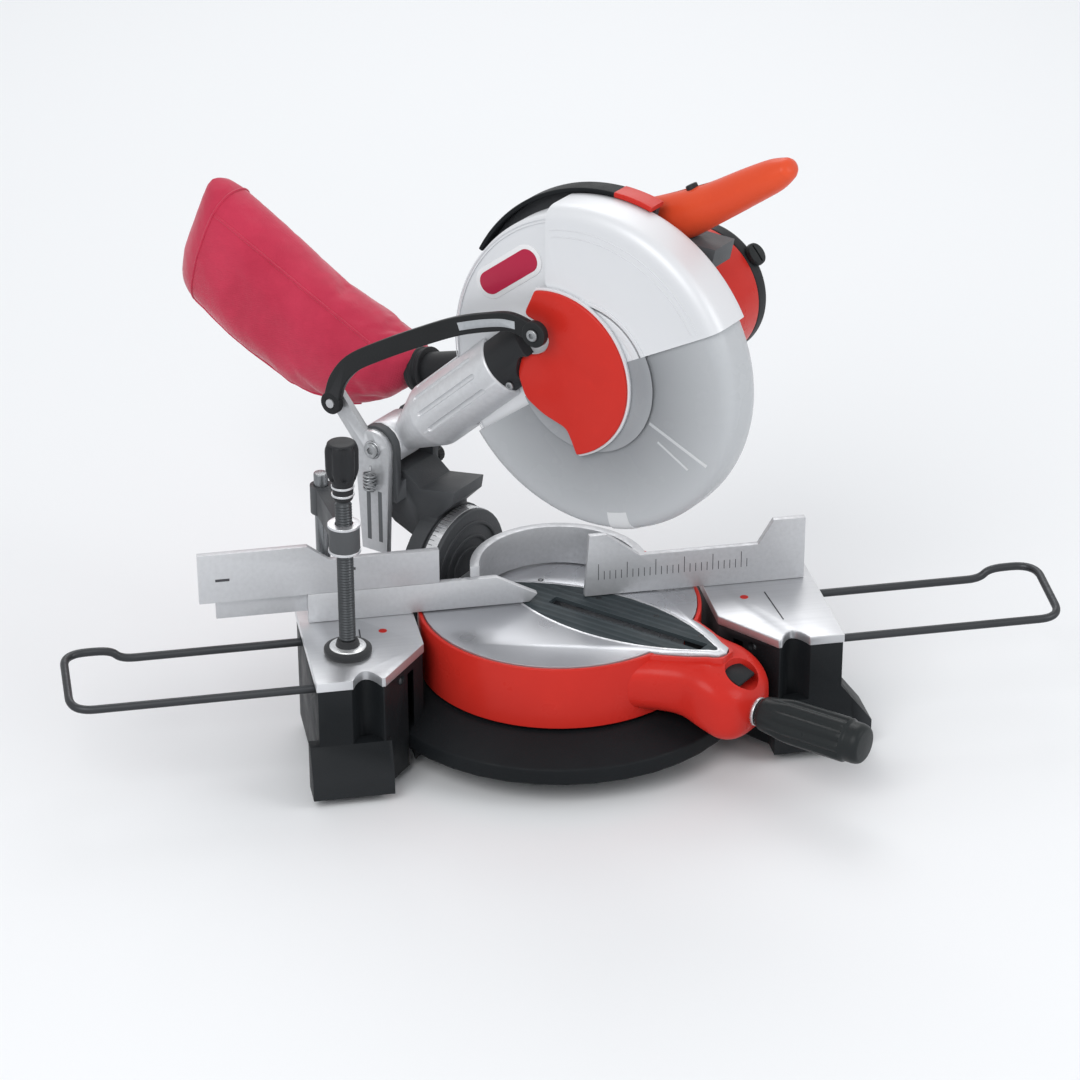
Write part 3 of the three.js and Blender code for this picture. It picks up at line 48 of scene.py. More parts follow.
# The room: the saw stands on a plain pale floor under soft lamps.
# The camera looks down over the left end of the table with a long lens.
CAMERA_TURN, CAMERA_RISE, CAMERA_REACH = -11.2, 28.1, 3.0195
CAMERA_AIM = Vector((0, 0, 0.1))
CAMERA_LENS = 117.8
CAMERA_SHIFT = (-0.0179, 0.0672)
PALE = (0.86, 0.87, 0.88, 1)
LAMPS = (
    ("key_lamp", (-1.6, -2.2, 2.6), 2.2, 52),
    ("side_lamp", (2.4, -1.4, 1.6), 1.8, 22),
    ("back_lamp", (0.4, 2.2, 2.4), 2.0, 26),
)


def looking_back(turn, rise):
    turn, rise = math.radians(turn), math.radians(rise)
    return Vector((math.sin(turn) * math.cos(rise), -math.cos(turn) * math.cos(rise), math.sin(rise)))


def put_camera():
    lens = bpy.data.cameras.new("camera")
    lens.lens = CAMERA_LENS
    lens.sensor_width = 36
    lens.shift_x, lens.shift_y = CAMERA_SHIFT
    lens.clip_start, lens.clip_end = 0.1, 60
    camera = bpy.data.objects.new("camera", lens)
    scene.collection.objects.link(camera)
    back = looking_back(CAMERA_TURN, CAMERA_RISE)
    camera.location = CAMERA_AIM + back * CAMERA_REACH
    camera.rotation_mode = "QUATERNION"
    camera.rotation_quaternion = (-back).to_track_quat("-Z", "Y")
    scene.camera = camera


def feed(tree, socket, value):
    """Links another node's socket to this one, or sets a number on it."""
    if isinstance(value, bpy.types.NodeSocket):
        tree.links.new(value, socket)
    else:
        socket.default_value = value


def math_node(tree, operation, *values):
    node = tree.nodes.new("ShaderNodeMath")
    node.operation = operation
    for socket, value in zip(node.inputs, values):
        feed(tree, socket, value)
    return node.outputs[0]


def seen_white(tree, shader, colour):
    """The camera, and gloss and glass, see the plain colour. Everything else meets the shader."""
    path = tree.nodes.new("ShaderNodeLightPath").outputs
    plain = tree.nodes.new("ShaderNodeBackground")
    plain.inputs["Color"].default_value = colour
    straight = math_node(tree, "MAXIMUM", path["Is Camera Ray"], path["Is Glossy Ray"])
    seen = math_node(tree, "MAXIMUM", straight, path["Is Transmission Ray"])
    mix = tree.nodes.new("ShaderNodeMixShader")
    tree.links.new(seen, mix.inputs[0])
    tree.links.new(shader.outputs[0], mix.inputs[1])
    tree.links.new(plain.outputs[0], mix.inputs[2])
    return mix


def put_room():
    world = bpy.data.worlds.new("room")
    scene.world = world
    world.use_nodes = True
    tree = world.node_tree
    soft = tree.nodes["Background"]
    soft.inputs["Color"].default_value = (0.95, 0.97, 1, 1)
    soft.inputs["Strength"].default_value = 0.62
    mix = seen_white(tree, soft, (1, 1, 1, 1))
    tree.links.new(mix.outputs[0], tree.nodes["World Output"].inputs["Surface"])

    for name, place, size, power in LAMPS:
        lamp = bpy.data.lights.new(name, "AREA")
        lamp.shape = "DISK"
        lamp.size = size
        lamp.energy = power
        holder = bpy.data.objects.new(name, lamp)
        holder.location = place
        holder.rotation_mode = "QUATERNION"
        holder.rotation_quaternion = (CAMERA_AIM - Vector(place)).to_track_quat("-Z", "Y")
        scene.collection.objects.link(holder)

    mesh = bpy.data.meshes.new("floor")
    reach = 14
    corners = [(-reach, -reach, 0), (reach, -reach, 0), (reach, reach, 0), (-reach, reach, 0)]
    mesh.from_pydata(corners, [], [(0, 1, 2, 3)])
    floor = bpy.data.objects.new("floor", mesh)
    scene.collection.objects.link(floor)
    pale = bpy.data.materials.new("pale_floor")
    pale.use_nodes = True
    shader = pale.node_tree.nodes["Principled BSDF"]
    shader.inputs["Base Color"].default_value = PALE
    shader.inputs["Roughness"].default_value = 0.9
    shader.inputs["Specular IOR Level"].default_value = 0.1
    mesh.materials.append(pale)


put_camera()
put_room()
scene.view_settings.view_transform = "Standard"

# Base: one black powder coated casting, a shallow round dish between two hollow wings.
# The coat has a fine orange peel and is rubbed slightly paler along the edges.
MM = 0.001
SLANT = math.sqrt(0.5)
BENCH = Matrix.Diagonal((MM, MM, MM, 1))
SAW = Matrix(((SLANT, 0, -SLANT, 0), (-SLANT, 0, -SLANT, 0), (0, 1, 0, 0), (0, 0, 0, 1))) @ BENCH
RING, RING_FOOT, RING_RIM, RIM_WIDTH = 160, 24, 38, 6
SEAT, SEAT_HEIGHT, SEAT_WIDTH, RIM_THICK = 124, 52, 5, 4
NOISE_ROUGHNESS = 0.55
EDGE_POINTINESS = (0.53, 0.62)
WELD, NODE_WELD, FLAT_ANGLE = 1e-6, 2e-6, 1


class Finish:
    """A shader being put together: object coordinates in, a principled shader out."""

    def __init__(self, name, colour, roughness, metallic=0.0, shine=0.12):
        self.material = bpy.data.materials.new(name)
        self.material.use_nodes = True
        self.tree = self.material.node_tree
        self.shader = self.tree.nodes["Principled BSDF"]
        self.colour = colour
        self.rough = roughness
        self.shader.inputs["Metallic"].default_value = metallic
        self.shader.inputs["Specular IOR Level"].default_value = shine
        self.place = self.tree.nodes.new("ShaderNodeTexCoord").outputs["Object"]
        self.bump = None
        self.tint = None

    def link(self, out, into):
        self.tree.links.new(out, into)

    def stretched(self, scale, turn=(0, 0, 0)):
        turned_to = self.tree.nodes.new("ShaderNodeMapping")
        turned_to.inputs["Rotation"].default_value = [math.radians(a) for a in turn]
        turned_to.inputs["Scale"].default_value = scale
        self.link(self.place, turned_to.inputs["Vector"])
        return turned_to.outputs[0]

    def cloud(self, scale, detail=3.0, vector=None):
        made = self.tree.nodes.new("ShaderNodeTexNoise")
        made.inputs["Scale"].default_value = scale
        made.inputs["Detail"].default_value = detail
        made.inputs["Roughness"].default_value = NOISE_ROUGHNESS
        self.link(vector or self.place, made.inputs["Vector"])
        return made.outputs["Fac"]

    def remap(self, value, low, high, to_low, to_high):
        made = self.tree.nodes.new("ShaderNodeMapRange")
        for name, number in (("From Min", low), ("From Max", high), ("To Min", to_low), ("To Max", to_high)):
            made.inputs[name].default_value = number
        self.link(value, made.inputs["Value"])
        return made.outputs["Result"]

    def mixed(self, factor, first, second):
        made = self.tree.nodes.new("ShaderNodeMix")
        made.data_type = "RGBA"
        self.link(factor, made.inputs["Factor"])
        for socket, colour in ((made.inputs["A"], first), (made.inputs["B"], second)):
            feed(self.tree, socket, colour if isinstance(colour, bpy.types.NodeSocket) else (*colour, 1))
        return made.outputs["Result"]

    def sprinkle(self, factor, colour):
        """Puts a second colour over what is there, where factor is high."""
        self.tint = self.mixed(factor, self.tint or self.colour, colour)

    def edge_wear_and_highlight(self, colour, amount=0.5):
        """Puts the colour over the convex edges: rubbed wear on the coats, plastics and steel, a painted
        highlight on machined and faced metal.
        """
        sharp = self.tree.nodes.new("ShaderNodeNewGeometry").outputs["Pointiness"]
        self.sprinkle(self.remap(sharp, *EDGE_POINTINESS, 0, amount), colour)

    def raised(self, value, depth, strength=0.4):
        made = self.tree.nodes.new("ShaderNodeBump")
        made.inputs["Strength"].default_value = strength
        made.inputs["Distance"].default_value = depth
        self.link(value, made.inputs["Height"])
        if self.bump:
            self.link(self.bump, made.inputs["Normal"])
        self.bump = made.outputs["Normal"]

    def patchy(self, value, spread):
        """Roughness that wanders by spread around its mean."""
        self.link(
            self.remap(value, 0.3, 0.7, self.rough - spread, self.rough + spread),
            self.shader.inputs["Roughness"],
        )

    def done(self, **sockets):
        if self.tint:
            self.link(self.tint, self.shader.inputs["Base Color"])
        else:
            self.shader.inputs["Base Color"].default_value = (*self.colour, 1)
        if self.bump:
            self.link(self.bump, self.shader.inputs["Normal"])
        if not self.shader.inputs["Roughness"].links:
            self.shader.inputs["Roughness"].default_value = self.rough
        for name, number in sockets.items():
            self.shader.inputs[name.replace("_", " ")].default_value = number
        return self.material


def powder_coat(name, colour, edge, peel=900.0, roughness=0.5):
    made = Finish(name, colour, roughness)
    made.sprinkle(made.remap(made.cloud(14), 0.35, 0.7, 0, 0.35), [c * 1.5 for c in colour])
    made.edge_wear_and_highlight(edge, 0.45)
    made.raised(made.cloud(peel, 2), 0.0004, 0.5)
    made.raised(made.cloud(60, 2), 0.0006, 0.12)
    made.patchy(made.cloud(35), 0.09)
    return made.done()


def new_piece(name, mesh):
    piece = bpy.data.objects.new(name, mesh)
    scene.collection.objects.link(piece)
    return piece


def settle(piece, material, body, nodes, crease=38):
    """Gives a finished mesh its material, its body and the solids that it stands for."""
    mesh = piece.data
    mesh.materials.clear()
    mesh.materials.append(material)
    mesh.shade_smooth()
    mesh.set_sharp_from_angle(angle=math.radians(crease))
    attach(piece, body)
    if nodes:
        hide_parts(*nodes)
    return piece


def ease(points, radius, closed=False, steps=4):
    """Rounds the corners of a run of (radius, along) points."""
    eased = []
    count = len(points)
    for at, point in enumerate(points):
        here = Vector(point)
        if not closed and at in (0, count - 1):
            eased.append(here)
            continue
        before, after = Vector(points[at - 1]), Vector(points[(at + 1) % count])
        toward, onward = before - here, after - here
        reach = min(radius, toward.length * 0.45, onward.length * 0.45)
        if reach < 1e-4 or toward.angle(onward, math.pi) > math.radians(172):
            eased.append(here)
            continue
        start, end = here + toward.normalized() * reach, here + onward.normalized() * reach
        for step in range(steps + 1):
            t = step / steps
            eased.append(start * (1 - t) ** 2 + here * (2 * t * (1 - t)) + end * t ** 2)
    return [tuple(p) for p in eased]


def turned(name, profile, place, start=0.0, sweep=360.0, steps=128, shape=None):
    """A profile of (radius, along) turned about the place's own Z axis, in millimetres."""
    shell = bmesh.new()
    whole = sweep >= 360
    rings = []
    for step in range(steps if whole else steps + 1):
        turn = math.radians(start + sweep * step / steps)
        ring = []
        for radius, along in profile:
            radius, along = shape(radius, along, turn) if shape else (radius, along)
            spot = Vector((radius * math.cos(turn), radius * math.sin(turn), along))
            ring.append(shell.verts.new(place @ spot))
        rings.append(ring)
    closed = profile[0] == profile[-1] or Vector(profile[0]).x > 1e-6
    pairs = list(zip(rings, rings[1:] + rings[:1])) if whole else list(zip(rings, rings[1:]))
    length = len(profile)
    for one, two in pairs:
        for at in range(length if closed else length - 1):
            nxt = (at + 1) % length
            corners = [one[at], two[at], two[nxt], one[nxt]]
            shell.faces.new(corners)
    if not whole:
        shell.faces.new(rings[0])
        shell.faces.new(list(reversed(rings[-1])))
    return sealed(name, shell)


def hoop(name, inner, outer, low, high, soft, place, **how):
    """A turned ring of square section with soft edges."""
    section = [(inner, low), (outer, low), (outer, high), (inner, high)]
    return turned(name, ease(section, soft, True), place, **how)


def rod(name, radius, low, high, place, steps, soft=0.0):
    """A turned rod, or the room for one. Soft rounds its ends."""
    profile = [(0, low), (radius, low), (radius, high), (0, high)]
    return turned(name, ease(profile, soft) if soft else profile, place, steps=steps)


def sealed(name, shell):
    """Closes a bmesh into a new piece: doubles merged, no empty faces, all faces outwards."""
    bmesh.ops.remove_doubles(shell, verts=shell.verts, dist=WELD)
    bmesh.ops.dissolve_degenerate(shell, edges=shell.edges, dist=WELD)
    bmesh.ops.recalc_face_normals(shell, faces=shell.faces)
    mesh = bpy.data.meshes.new(name)
    shell.to_mesh(mesh)
    shell.free()
    return new_piece(name, mesh)


def chamfer(shell, width, angle, segments=2):
    """Rounds every edge sharper than the angle."""
    sharp = [
        e for e in shell.edges
        if len(e.link_faces) == 2 and e.calc_face_angle(0) > math.radians(angle)
    ]
    if sharp and width > 0:
        bmesh.ops.bevel(
            shell, geom=sharp, offset=width * MM, segments=segments, profile=0.5,
            affect="EDGES", clamp_overlap=True, offset_type="OFFSET",
        )


def dressed(node, name, width, angle=35, segments=2):
    """A copy of a solid with its loose triangles merged into faces and its edges rounded."""
    shell = bmesh.new()
    shell.from_mesh(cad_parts[node].data)
    bmesh.ops.remove_doubles(shell, verts=shell.verts, dist=NODE_WELD)
    bmesh.ops.dissolve_limit(
        shell, angle_limit=math.radians(FLAT_ANGLE), verts=shell.verts, edges=shell.edges,
        use_dissolve_boundaries=False,
    )
    chamfer(shell, width, angle, segments)
    return sealed(name, shell)


def dress(node, name, width, material, body, angle=35, segments=2):
    """Settles a dressed copy of a solid in its node's place."""
    return settle(dressed(node, name, width, angle, segments), material, body, [node])


black_coat = powder_coat("black_powder_coat", (0.009, 0.0105, 0.012), (0.06, 0.064, 0.068))
dress("base_casting", "base_wings_and_dish", 1.6, black_coat, "base")

rim = ease([
    (RING - RIM_WIDTH, RING_FOOT), (RING + 0.35, RING_FOOT), (RING + 0.35, RING_RIM),
    (SEAT + 0.4, SEAT_HEIGHT + 0.2),
    (SEAT - SEAT_WIDTH, SEAT_HEIGHT + 0.2), (SEAT - SEAT_WIDTH, SEAT_HEIGHT - RIM_THICK),
    (RING - RIM_WIDTH, RING_RIM - RIM_THICK),
], 2, closed=True)
base_rim = turned("base_ring_rim", rim, BENCH, steps=180)
settle(base_rim, black_coat, "base", [])

# Tables: two machined cast aluminium plates with a bright lip along the front, painted on as an edge
# highlight.
# Fine cutter lines run along the fence, and each plate carries a slanted index line and a red plug.
TABLE_TOP = 112
ALUMINIUM = (0.50, 0.51, 0.53)
PAINTED_EDGE_HIGHLIGHT = (0.86, 0.87, 0.89)
MARK_RED = (0.45, 0.02, 0.015)


def machined(name, colour, lines, roughness=0.38, metallic=0.75, bright=PAINTED_EDGE_HIGHLIGHT):
    """Machined aluminium: cutter lines along one axis, faint clouds, and edges brightened by a painted
    highlight.
    """
    made = Finish(name, colour, roughness, metallic)
    streaks = made.cloud(1, 4, made.stretched(lines))
    made.sprinkle(made.remap(streaks, 0.3, 0.7, 0, 0.55), [c * 0.86 for c in colour])
    made.sprinkle(made.remap(made.cloud(9, 4), 0.45, 0.75, 0, 0.3), [c * 1.12 for c in colour])
    # Painted highlight: the convex edges are lightened toward the bright colour, as if they caught the light.
    made.edge_wear_and_highlight(bright, 0.6)
    made.raised(streaks, 0.0002, 0.35)
    made.patchy(streaks, 0.1)
    return made.done()


def drawn_outline(name, points, low, high, place, width=0.0, segments=2):
    """A flat outline in millimetres, raised from low to high along the place's Z, with rounded edges."""
    shell = bmesh.new()
    foot = [shell.verts.new(place @ Vector((x, y, low))) for x, y in points]
    head = [shell.verts.new(place @ Vector((x, y, high))) for x, y in points]
    shell.faces.new(foot)
    shell.faces.new(head)
    for at in range(len(points)):
        nxt = (at + 1) % len(points)
        shell.faces.new([foot[at], foot[nxt], head[nxt], head[at]])
    bmesh.ops.recalc_face_normals(shell, faces=shell.faces)
    chamfer(shell, width, 35, segments)
    return sealed(name, shell)


def at_point(x, y, z, turn=0.0, tilt=0.0):
    """A place on the bench frame, in millimetres, turned about Z and then tilted about its own X."""
    turned_to = Matrix.Rotation(math.radians(turn), 4, "Z") @ Matrix.Rotation(math.radians(tilt), 4, "X")
    return BENCH @ Matrix.Translation((x, y, z)) @ turned_to


table_metal = machined("machined_table", ALUMINIUM, (3, 1400, 30))
dark_mark = powder_coat("index_line_paint", (0.03, 0.03, 0.035), (0.06, 0.06, 0.07))
red_mark = powder_coat("red_plug_paint", MARK_RED, (0.6, 0.05, 0.04), 300)
for side, hand in ((-1, "left"), (1, "right")):
    dress(f"{hand}_table_plate", f"{hand}_table_machined", 0.9, table_metal, "base",
          segments=3)
    line = [(-0.6, -26), (0.6, -26), (0.6, 26), (-0.6, 26)]
    groove = drawn_outline(f"{hand}_index_line", line, 0.0, 0.12,
                           at_point(side * 177, -45, TABLE_TOP, side * 4))
    settle(groove, dark_mark, "base", [])
    plug = turned(f"{hand}_red_plug", ease([(0, -0.4), (3.6, -0.4), (3.6, 0.1), (0, 0.18)], 0.1),
                  at_point(side * 156, -25, TABLE_TOP), steps=32)
    settle(plug, red_mark, "base", [])

# Feet: four pads of moulded black rubber, pushed into the corners of the wings.
# Three ridges run round each pad, and the rubber is dull with a faint sheen.
FOOT_RADIUS, FOOT_HEIGHT = 13, 8


def moulded(name, colour, roughness, grain=700.0, sheen=0.0):
    """A moulded skin: fine grain, soft clouds and slightly paler rubbed edges."""
    made = Finish(name, colour, roughness)
    made.sprinkle(made.remap(made.cloud(11, 3), 0.35, 0.75, 0, 0.4), [min(1, c * 1.25) for c in colour])
    made.edge_wear_and_highlight([min(1, c * 1.5 + 0.02) for c in colour], 0.35)
    made.raised(made.cloud(grain, 2), 0.0003, 0.35)
    made.patchy(made.cloud(40), 0.07)
    return made.done(Sheen_Weight=sheen)


foot_rubber = moulded("foot_rubber", (0.022, 0.022, 0.023), 0.85, 500, sheen=0.2)
foot_profile = [(0, 0)]
for ridge in range(3):
    foot_profile += [(FOOT_RADIUS, ridge * 2.6), (FOOT_RADIUS, ridge * 2.6 + 1.6),
                     (FOOT_RADIUS - 1, ridge * 2.6 + 2)]
foot_profile += [(FOOT_RADIUS - 1, FOOT_HEIGHT), (0, FOOT_HEIGHT)]
for name in ("left_front", "left_rear", "right_front", "right_rear"):
    low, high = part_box(f"{name}_foot")
    middle = (low + high) / 2 / MM
    pad = turned(f"{name}_pad", ease(foot_profile, 0.5), at_point(middle.x, middle.y, 0), steps=48)
    settle(pad, foot_rubber, "base", [f"{name}_foot"])

# Work supports: bent steel wire loops that slide in the wings, swept along their course.
# The wire is dark and drawn, so its scratches run round it. A knob behind each wing clamps it.
WIRE = 3.5
PRONG_FRONT, PRONG_HEIGHT, PRONG_INNER = -82, 95, 150
REACH, CORNER, LIFT = 422, 20, 9


def vector_node(tree, **axes):
    node = tree.nodes.new("ShaderNodeCombineXYZ")
    for axis, value in axes.items():
        feed(tree, node.inputs[axis], value)
    return node.outputs[0]


def geometry_tree(name, **sizes):
    """An empty Geometry Nodes tree with one mesh or curve in, one out, and named sizes."""
    tree = bpy.data.node_groups.new(name, "GeometryNodeTree")
    tree.interface.new_socket("Geometry", in_out="INPUT", socket_type="NodeSocketGeometry")
    for size, value in sizes.items():
        kind = "NodeSocketInt" if isinstance(value, int) else "NodeSocketFloat"
        tree.interface.new_socket(size, in_out="INPUT", socket_type=kind).default_value = value
    tree.interface.new_socket("Geometry", in_out="OUTPUT", socket_type="NodeSocketGeometry")
    return tree, tree.nodes.new("NodeGroupInput"), tree.nodes.new("NodeGroupOutput")


def chain(tree, start, *steps):
    """Adds nodes one after another on the geometry line, each as (node type, {input: value or socket})."""
    out = start
    for kind, inputs in steps:
        node = tree.nodes.new(kind)
        first = node.inputs[0]
        for name, value in inputs.items():
            feed(tree, node.inputs[name], value)
        tree.links.new(out, first)
        out = node.outputs[0]
    return out


def baked(name, source, tree, **sizes):
    """Runs a tree on a source object once and keeps the result as a plain mesh."""
    modifier = source.modifiers.new("shape", "NODES")
    modifier.node_group = tree
    for item in tree.interface.items_tree:
        if item.in_out == "INPUT" and item.name in sizes:
            modifier[item.identifier] = sizes[item.name]
    bpy.context.view_layer.update()
    seen = source.evaluated_get(bpy.context.evaluated_depsgraph_get())
    mesh = bpy.data.meshes.new_from_object(seen)
    mesh.name = name
    bpy.data.objects.remove(source)
    return new_piece(name, mesh)


def course(name, points, place, closed=False):
    """A curve object through points in millimetres."""
    line = bpy.data.curves.new(name, "CURVE")
    line.dimensions = "3D"
    spline = line.splines.new("POLY")
    spline.points.add(len(points) - 1)
    for at, point in enumerate(points):
        spline.points[at].co = (*(place @ Vector(point)), 1)
    spline.use_cyclic_u = closed
    return new_piece(name, line)


def wire_tree(name, material):
    tree, given, out = geometry_tree(name, Radius=WIRE * MM, Sides=20)
    ring = tree.nodes.new("GeometryNodeCurvePrimitiveCircle")
    tree.links.new(given.outputs["Radius"], ring.inputs["Radius"])
    tree.links.new(given.outputs["Sides"], ring.inputs["Resolution"])
    done = chain(
        tree, given.outputs["Geometry"],
        ("GeometryNodeCurveToMesh", {"Profile Curve": ring.outputs["Curve"], "Fill Caps": True}),
        ("GeometryNodeRealizeInstances", {}),
        ("GeometryNodeSetMaterial", {"Material": material}),
    )
    tree.links.new(done, out.inputs["Geometry"])
    return tree


def bend(start, corner, end, steps=10):
    """A bend in a wire: a smooth run of points from start to end that leans toward the corner."""
    start, corner, end = Vector(start), Vector(corner), Vector(end)
    shares = [step / steps for step in range(steps + 1)]
    return [start * (1 - t) ** 2 + corner * (2 * t * (1 - t)) + end * t ** 2 for t in shares]


def support_course(side):
    """One support's wire: ahead out of the wing, round its far end with a lift, and back in."""
    high = PRONG_HEIGHT + LIFT
    run = [Vector((PRONG_INNER, PRONG_FRONT, PRONG_HEIGHT))]
    run += bend((REACH - CORNER, PRONG_FRONT, PRONG_HEIGHT), (REACH, PRONG_FRONT, PRONG_HEIGHT),
                (REACH, PRONG_FRONT + CORNER, PRONG_HEIGHT + LIFT / 4))
    run += bend((REACH, -CORNER, high), (REACH, 0, high), (REACH - CORNER, 0, high))
    run += bend((REACH - 1.3 * CORNER, 0, high), (REACH - 2 * CORNER, 0, high),
                (REACH - 2.2 * CORNER, 0, high - LIFT / 2), 6)
    run += bend((REACH - 2.2 * CORNER, 0, high - LIFT / 2), (REACH - 2.4 * CORNER, 0, PRONG_HEIGHT),
                (REACH - 3 * CORNER, 0, PRONG_HEIGHT), 6)[1:]
    run.append(Vector((PRONG_INNER, 0, PRONG_HEIGHT)))
    return [(side * p.x, p.y, p.z) for p in run]


def metal(name, colour, roughness, scratches=(400, 400, 40), metallic=0.9):
    """Plain steel: drawn or turned scratches, a little grime, bright edges."""
    made = Finish(name, colour, roughness, metallic)
    marks = made.cloud(1, 3, made.stretched(scratches))
    made.sprinkle(made.remap(marks, 0.35, 0.7, 0, 0.4), [c * 0.8 for c in colour])
    made.sprinkle(made.remap(made.cloud(25, 5), 0.5, 0.8, 0, 0.25), [c * 0.45 for c in colour])
    made.edge_wear_and_highlight([min(1, c * 1.35) for c in colour], 0.55)
    made.raised(marks, 0.0001, 0.3)
    made.patchy(marks, 0.1)
    return made.done()


wire_steel = metal("drawn_wire_steel", (0.055, 0.058, 0.062), 0.42, (30, 900, 900), 0.8)
wire = wire_tree("support_wire", wire_steel)
for side, hand in ((-1, "left"), (1, "right")):
    loop = baked(f"{hand}_support_wire", course(f"{hand}_support_course", support_course(side), BENCH), wire)
    settle(loop, wire_steel, f"{hand}_support", [f"{hand}_work_support"])

knob_plastic = moulded("knob_plastic", (0.024, 0.025, 0.027), 0.45)


def scalloped(count, depth, low, high):
    """A shape for turned(): count flutes, each depth deep, between low and high along the axis."""
    def shape(radius, along, turn):
        if radius > 1 and low <= along <= high:
            radius -= depth * (0.5 - 0.5 * math.cos(count * turn)) ** 1.6
        return radius, along
    return shape


for side, hand in ((-1, "left"), (1, "right")):
    low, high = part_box(f"{hand}_support_screw")
    seat, end = 31.3, high.y / MM
    profile = [(0, 3.8), (3, 3.8), (3, seat), (8, seat), (8, end), (0, end)]
    screw = turned(f"{hand}_clamp_knob", ease(profile, 1), at_point(side * 170, 0, PRONG_HEIGHT, 180, 90),
                   steps=72, shape=scalloped(12, 1.0, seat + 0.8, end))
    settle(screw, knob_plastic, "base", [f"{hand}_support_screw"])

# Fence: one aluminium casting of two straight halves and the round bridge behind the blade.
# The right half carries a stamped scale on its face, the left half a short sliding board above it.
SCALE_FROM, SCALE_TO, SCALE_STEP = 34, 168, 5
SCALE_FOOT = 128


def stroke_tree(name, material):
    """Upright strokes along X: every fifth is long. Sizes come in metres."""
    tree, given, out = geometry_tree(name, Count=27, Step=0.005, Short=0.008, Long=0.015, Width=0.0006,
                                     Proud=0.00012)
    line = tree.nodes.new("GeometryNodeMeshLine")
    tree.links.new(given.outputs["Count"], line.inputs["Count"])
    tree.links.new(vector_node(tree, X=given.outputs["Step"]), line.inputs["Offset"])
    index = tree.nodes.new("GeometryNodeInputIndex").outputs[0]
    is_fifth = math_node(tree, "LESS_THAN", math_node(tree, "MODULO", index, 5), 0.5)
    tall = tree.nodes.new("ShaderNodeMapRange")
    tree.links.new(is_fifth, tall.inputs["Value"])
    tree.links.new(given.outputs["Short"], tall.inputs["To Min"])
    tree.links.new(given.outputs["Long"], tall.inputs["To Max"])
    size = vector_node(tree, X=given.outputs["Width"], Y=given.outputs["Proud"], Z=tall.outputs[0])
    bar = tree.nodes.new("GeometryNodeMeshCube")
    bar.inputs["Size"].default_value = (1, 1, 1)
    lifted = tree.nodes.new("GeometryNodeTransform")
    lifted.inputs["Translation"].default_value = (0, 0, 0.5)
    tree.links.new(bar.outputs["Mesh"], lifted.inputs["Geometry"])
    done = chain(
        tree, line.outputs["Mesh"],
        ("GeometryNodeInstanceOnPoints", {"Instance": lifted.outputs[0], "Scale": size}),
        ("GeometryNodeRealizeInstances", {}),
        ("GeometryNodeSetMaterial", {"Material": material}),
    )
    tree.links.new(done, out.inputs["Geometry"])
    return tree


def blank_piece():
    return new_piece("blank", bpy.data.meshes.new("blank"))


def moved(piece, place):
    """Carries a mesh from the origin to its place."""
    piece.data.transform(place)
    return piece


cast_metal = machined("cast_fence", (0.50, 0.51, 0.53), (260, 240, 260), 0.5, 0.55, bright=(0.82, 0.83, 0.85))
dress("fence_casting", "fence_machined", 0.8, cast_metal, "base")
dress("left_sub_fence", "sliding_board", 0.8, cast_metal, "sub_fence")

scale_paint = powder_coat("scale_paint", (0.05, 0.05, 0.055), (0.1, 0.1, 0.11))
strokes = stroke_tree("fence_scale", scale_paint)
marks = baked("fence_scale_strokes", blank_piece(), strokes, Count=(SCALE_TO - SCALE_FROM) // SCALE_STEP + 1)
moved(marks, Matrix.Translation(Vector((SCALE_FROM, -0.03, SCALE_FOOT)) * MM))
settle(marks, scale_paint, "base", [])


def cap_screw(name, place, radius, tall, material, body, socket=0.5):
    """A socket head screw: a rounded head with a six-sided hole in its top."""
    head = rod(name, radius, 0, tall, place, 40, soft=radius * 0.25)
    reach = radius * socket
    corners = [(reach * math.cos(k * math.pi / 3), reach * math.sin(k * math.pi / 3)) for k in range(6)]
    hole = drawn_outline("hole", corners, tall * 0.35, tall + 2, place)
    return settle(carved(head, hole), material, body, [])


def applied(piece, *spent):
    """Makes the modifiers' result the piece's own mesh, and clears away the tools that they used."""
    bpy.context.view_layer.update()
    seen = piece.evaluated_get(bpy.context.evaluated_depsgraph_get())
    mesh = bpy.data.meshes.new_from_object(seen)
    name = piece.name
    for done in (piece, *spent):
        bpy.data.objects.remove(done)
    mesh.name = name
    return new_piece(name, mesh)


def carved(piece, *tools, operation="DIFFERENCE"):
    """Cuts closed tools out of a closed piece."""
    for tool in tools:
        step = piece.modifiers.new("step", "BOOLEAN")
        step.object = tool
        step.operation = operation
        step.solver = "MANIFOLD"
    return applied(piece, *tools)


bolt_steel = metal("zinc_screws", (0.35, 0.36, 0.37), 0.35)
black_screw = metal("black_screws", (0.03, 0.031, 0.033), 0.4, metallic=0.6)
for x in (-176, 150, 202):
    cap_screw(f"fence_screw_{x}".replace("-", "left_"), at_point(x, 18, TABLE_TOP + 6.3), 4.5, 5, black_screw,
              "base")
for x in (-292, -186):
    slot_line = [(-6, -1.2), (6, -1.2), (6, 1.2), (-6, 1.2)]
    bar = drawn_outline(f"board_slot_{abs(x)}", slot_line, 0, 0.15, at_point(x + 6, 0.05, 160, 0, 90))
    settle(bar, scale_paint, "sub_fence", [])

# Vise: a steel post, a cast arm with bright turned rings, a coarse thread, a fluted knob,
# and a rubber pad with a pale disc where the thread's ball end sits.
POST = (-198.5, 18)
FEED = (-190, -57)
ARM_LOW, ARM_HIGH = 207, 232
PAD_LOW, KNOB_LOW, KNOB_HIGH = 112.3, 253, 305
THREAD_RADIUS, THREAD_PITCH, THREAD_DEPTH = 7, 2.5, 1.1

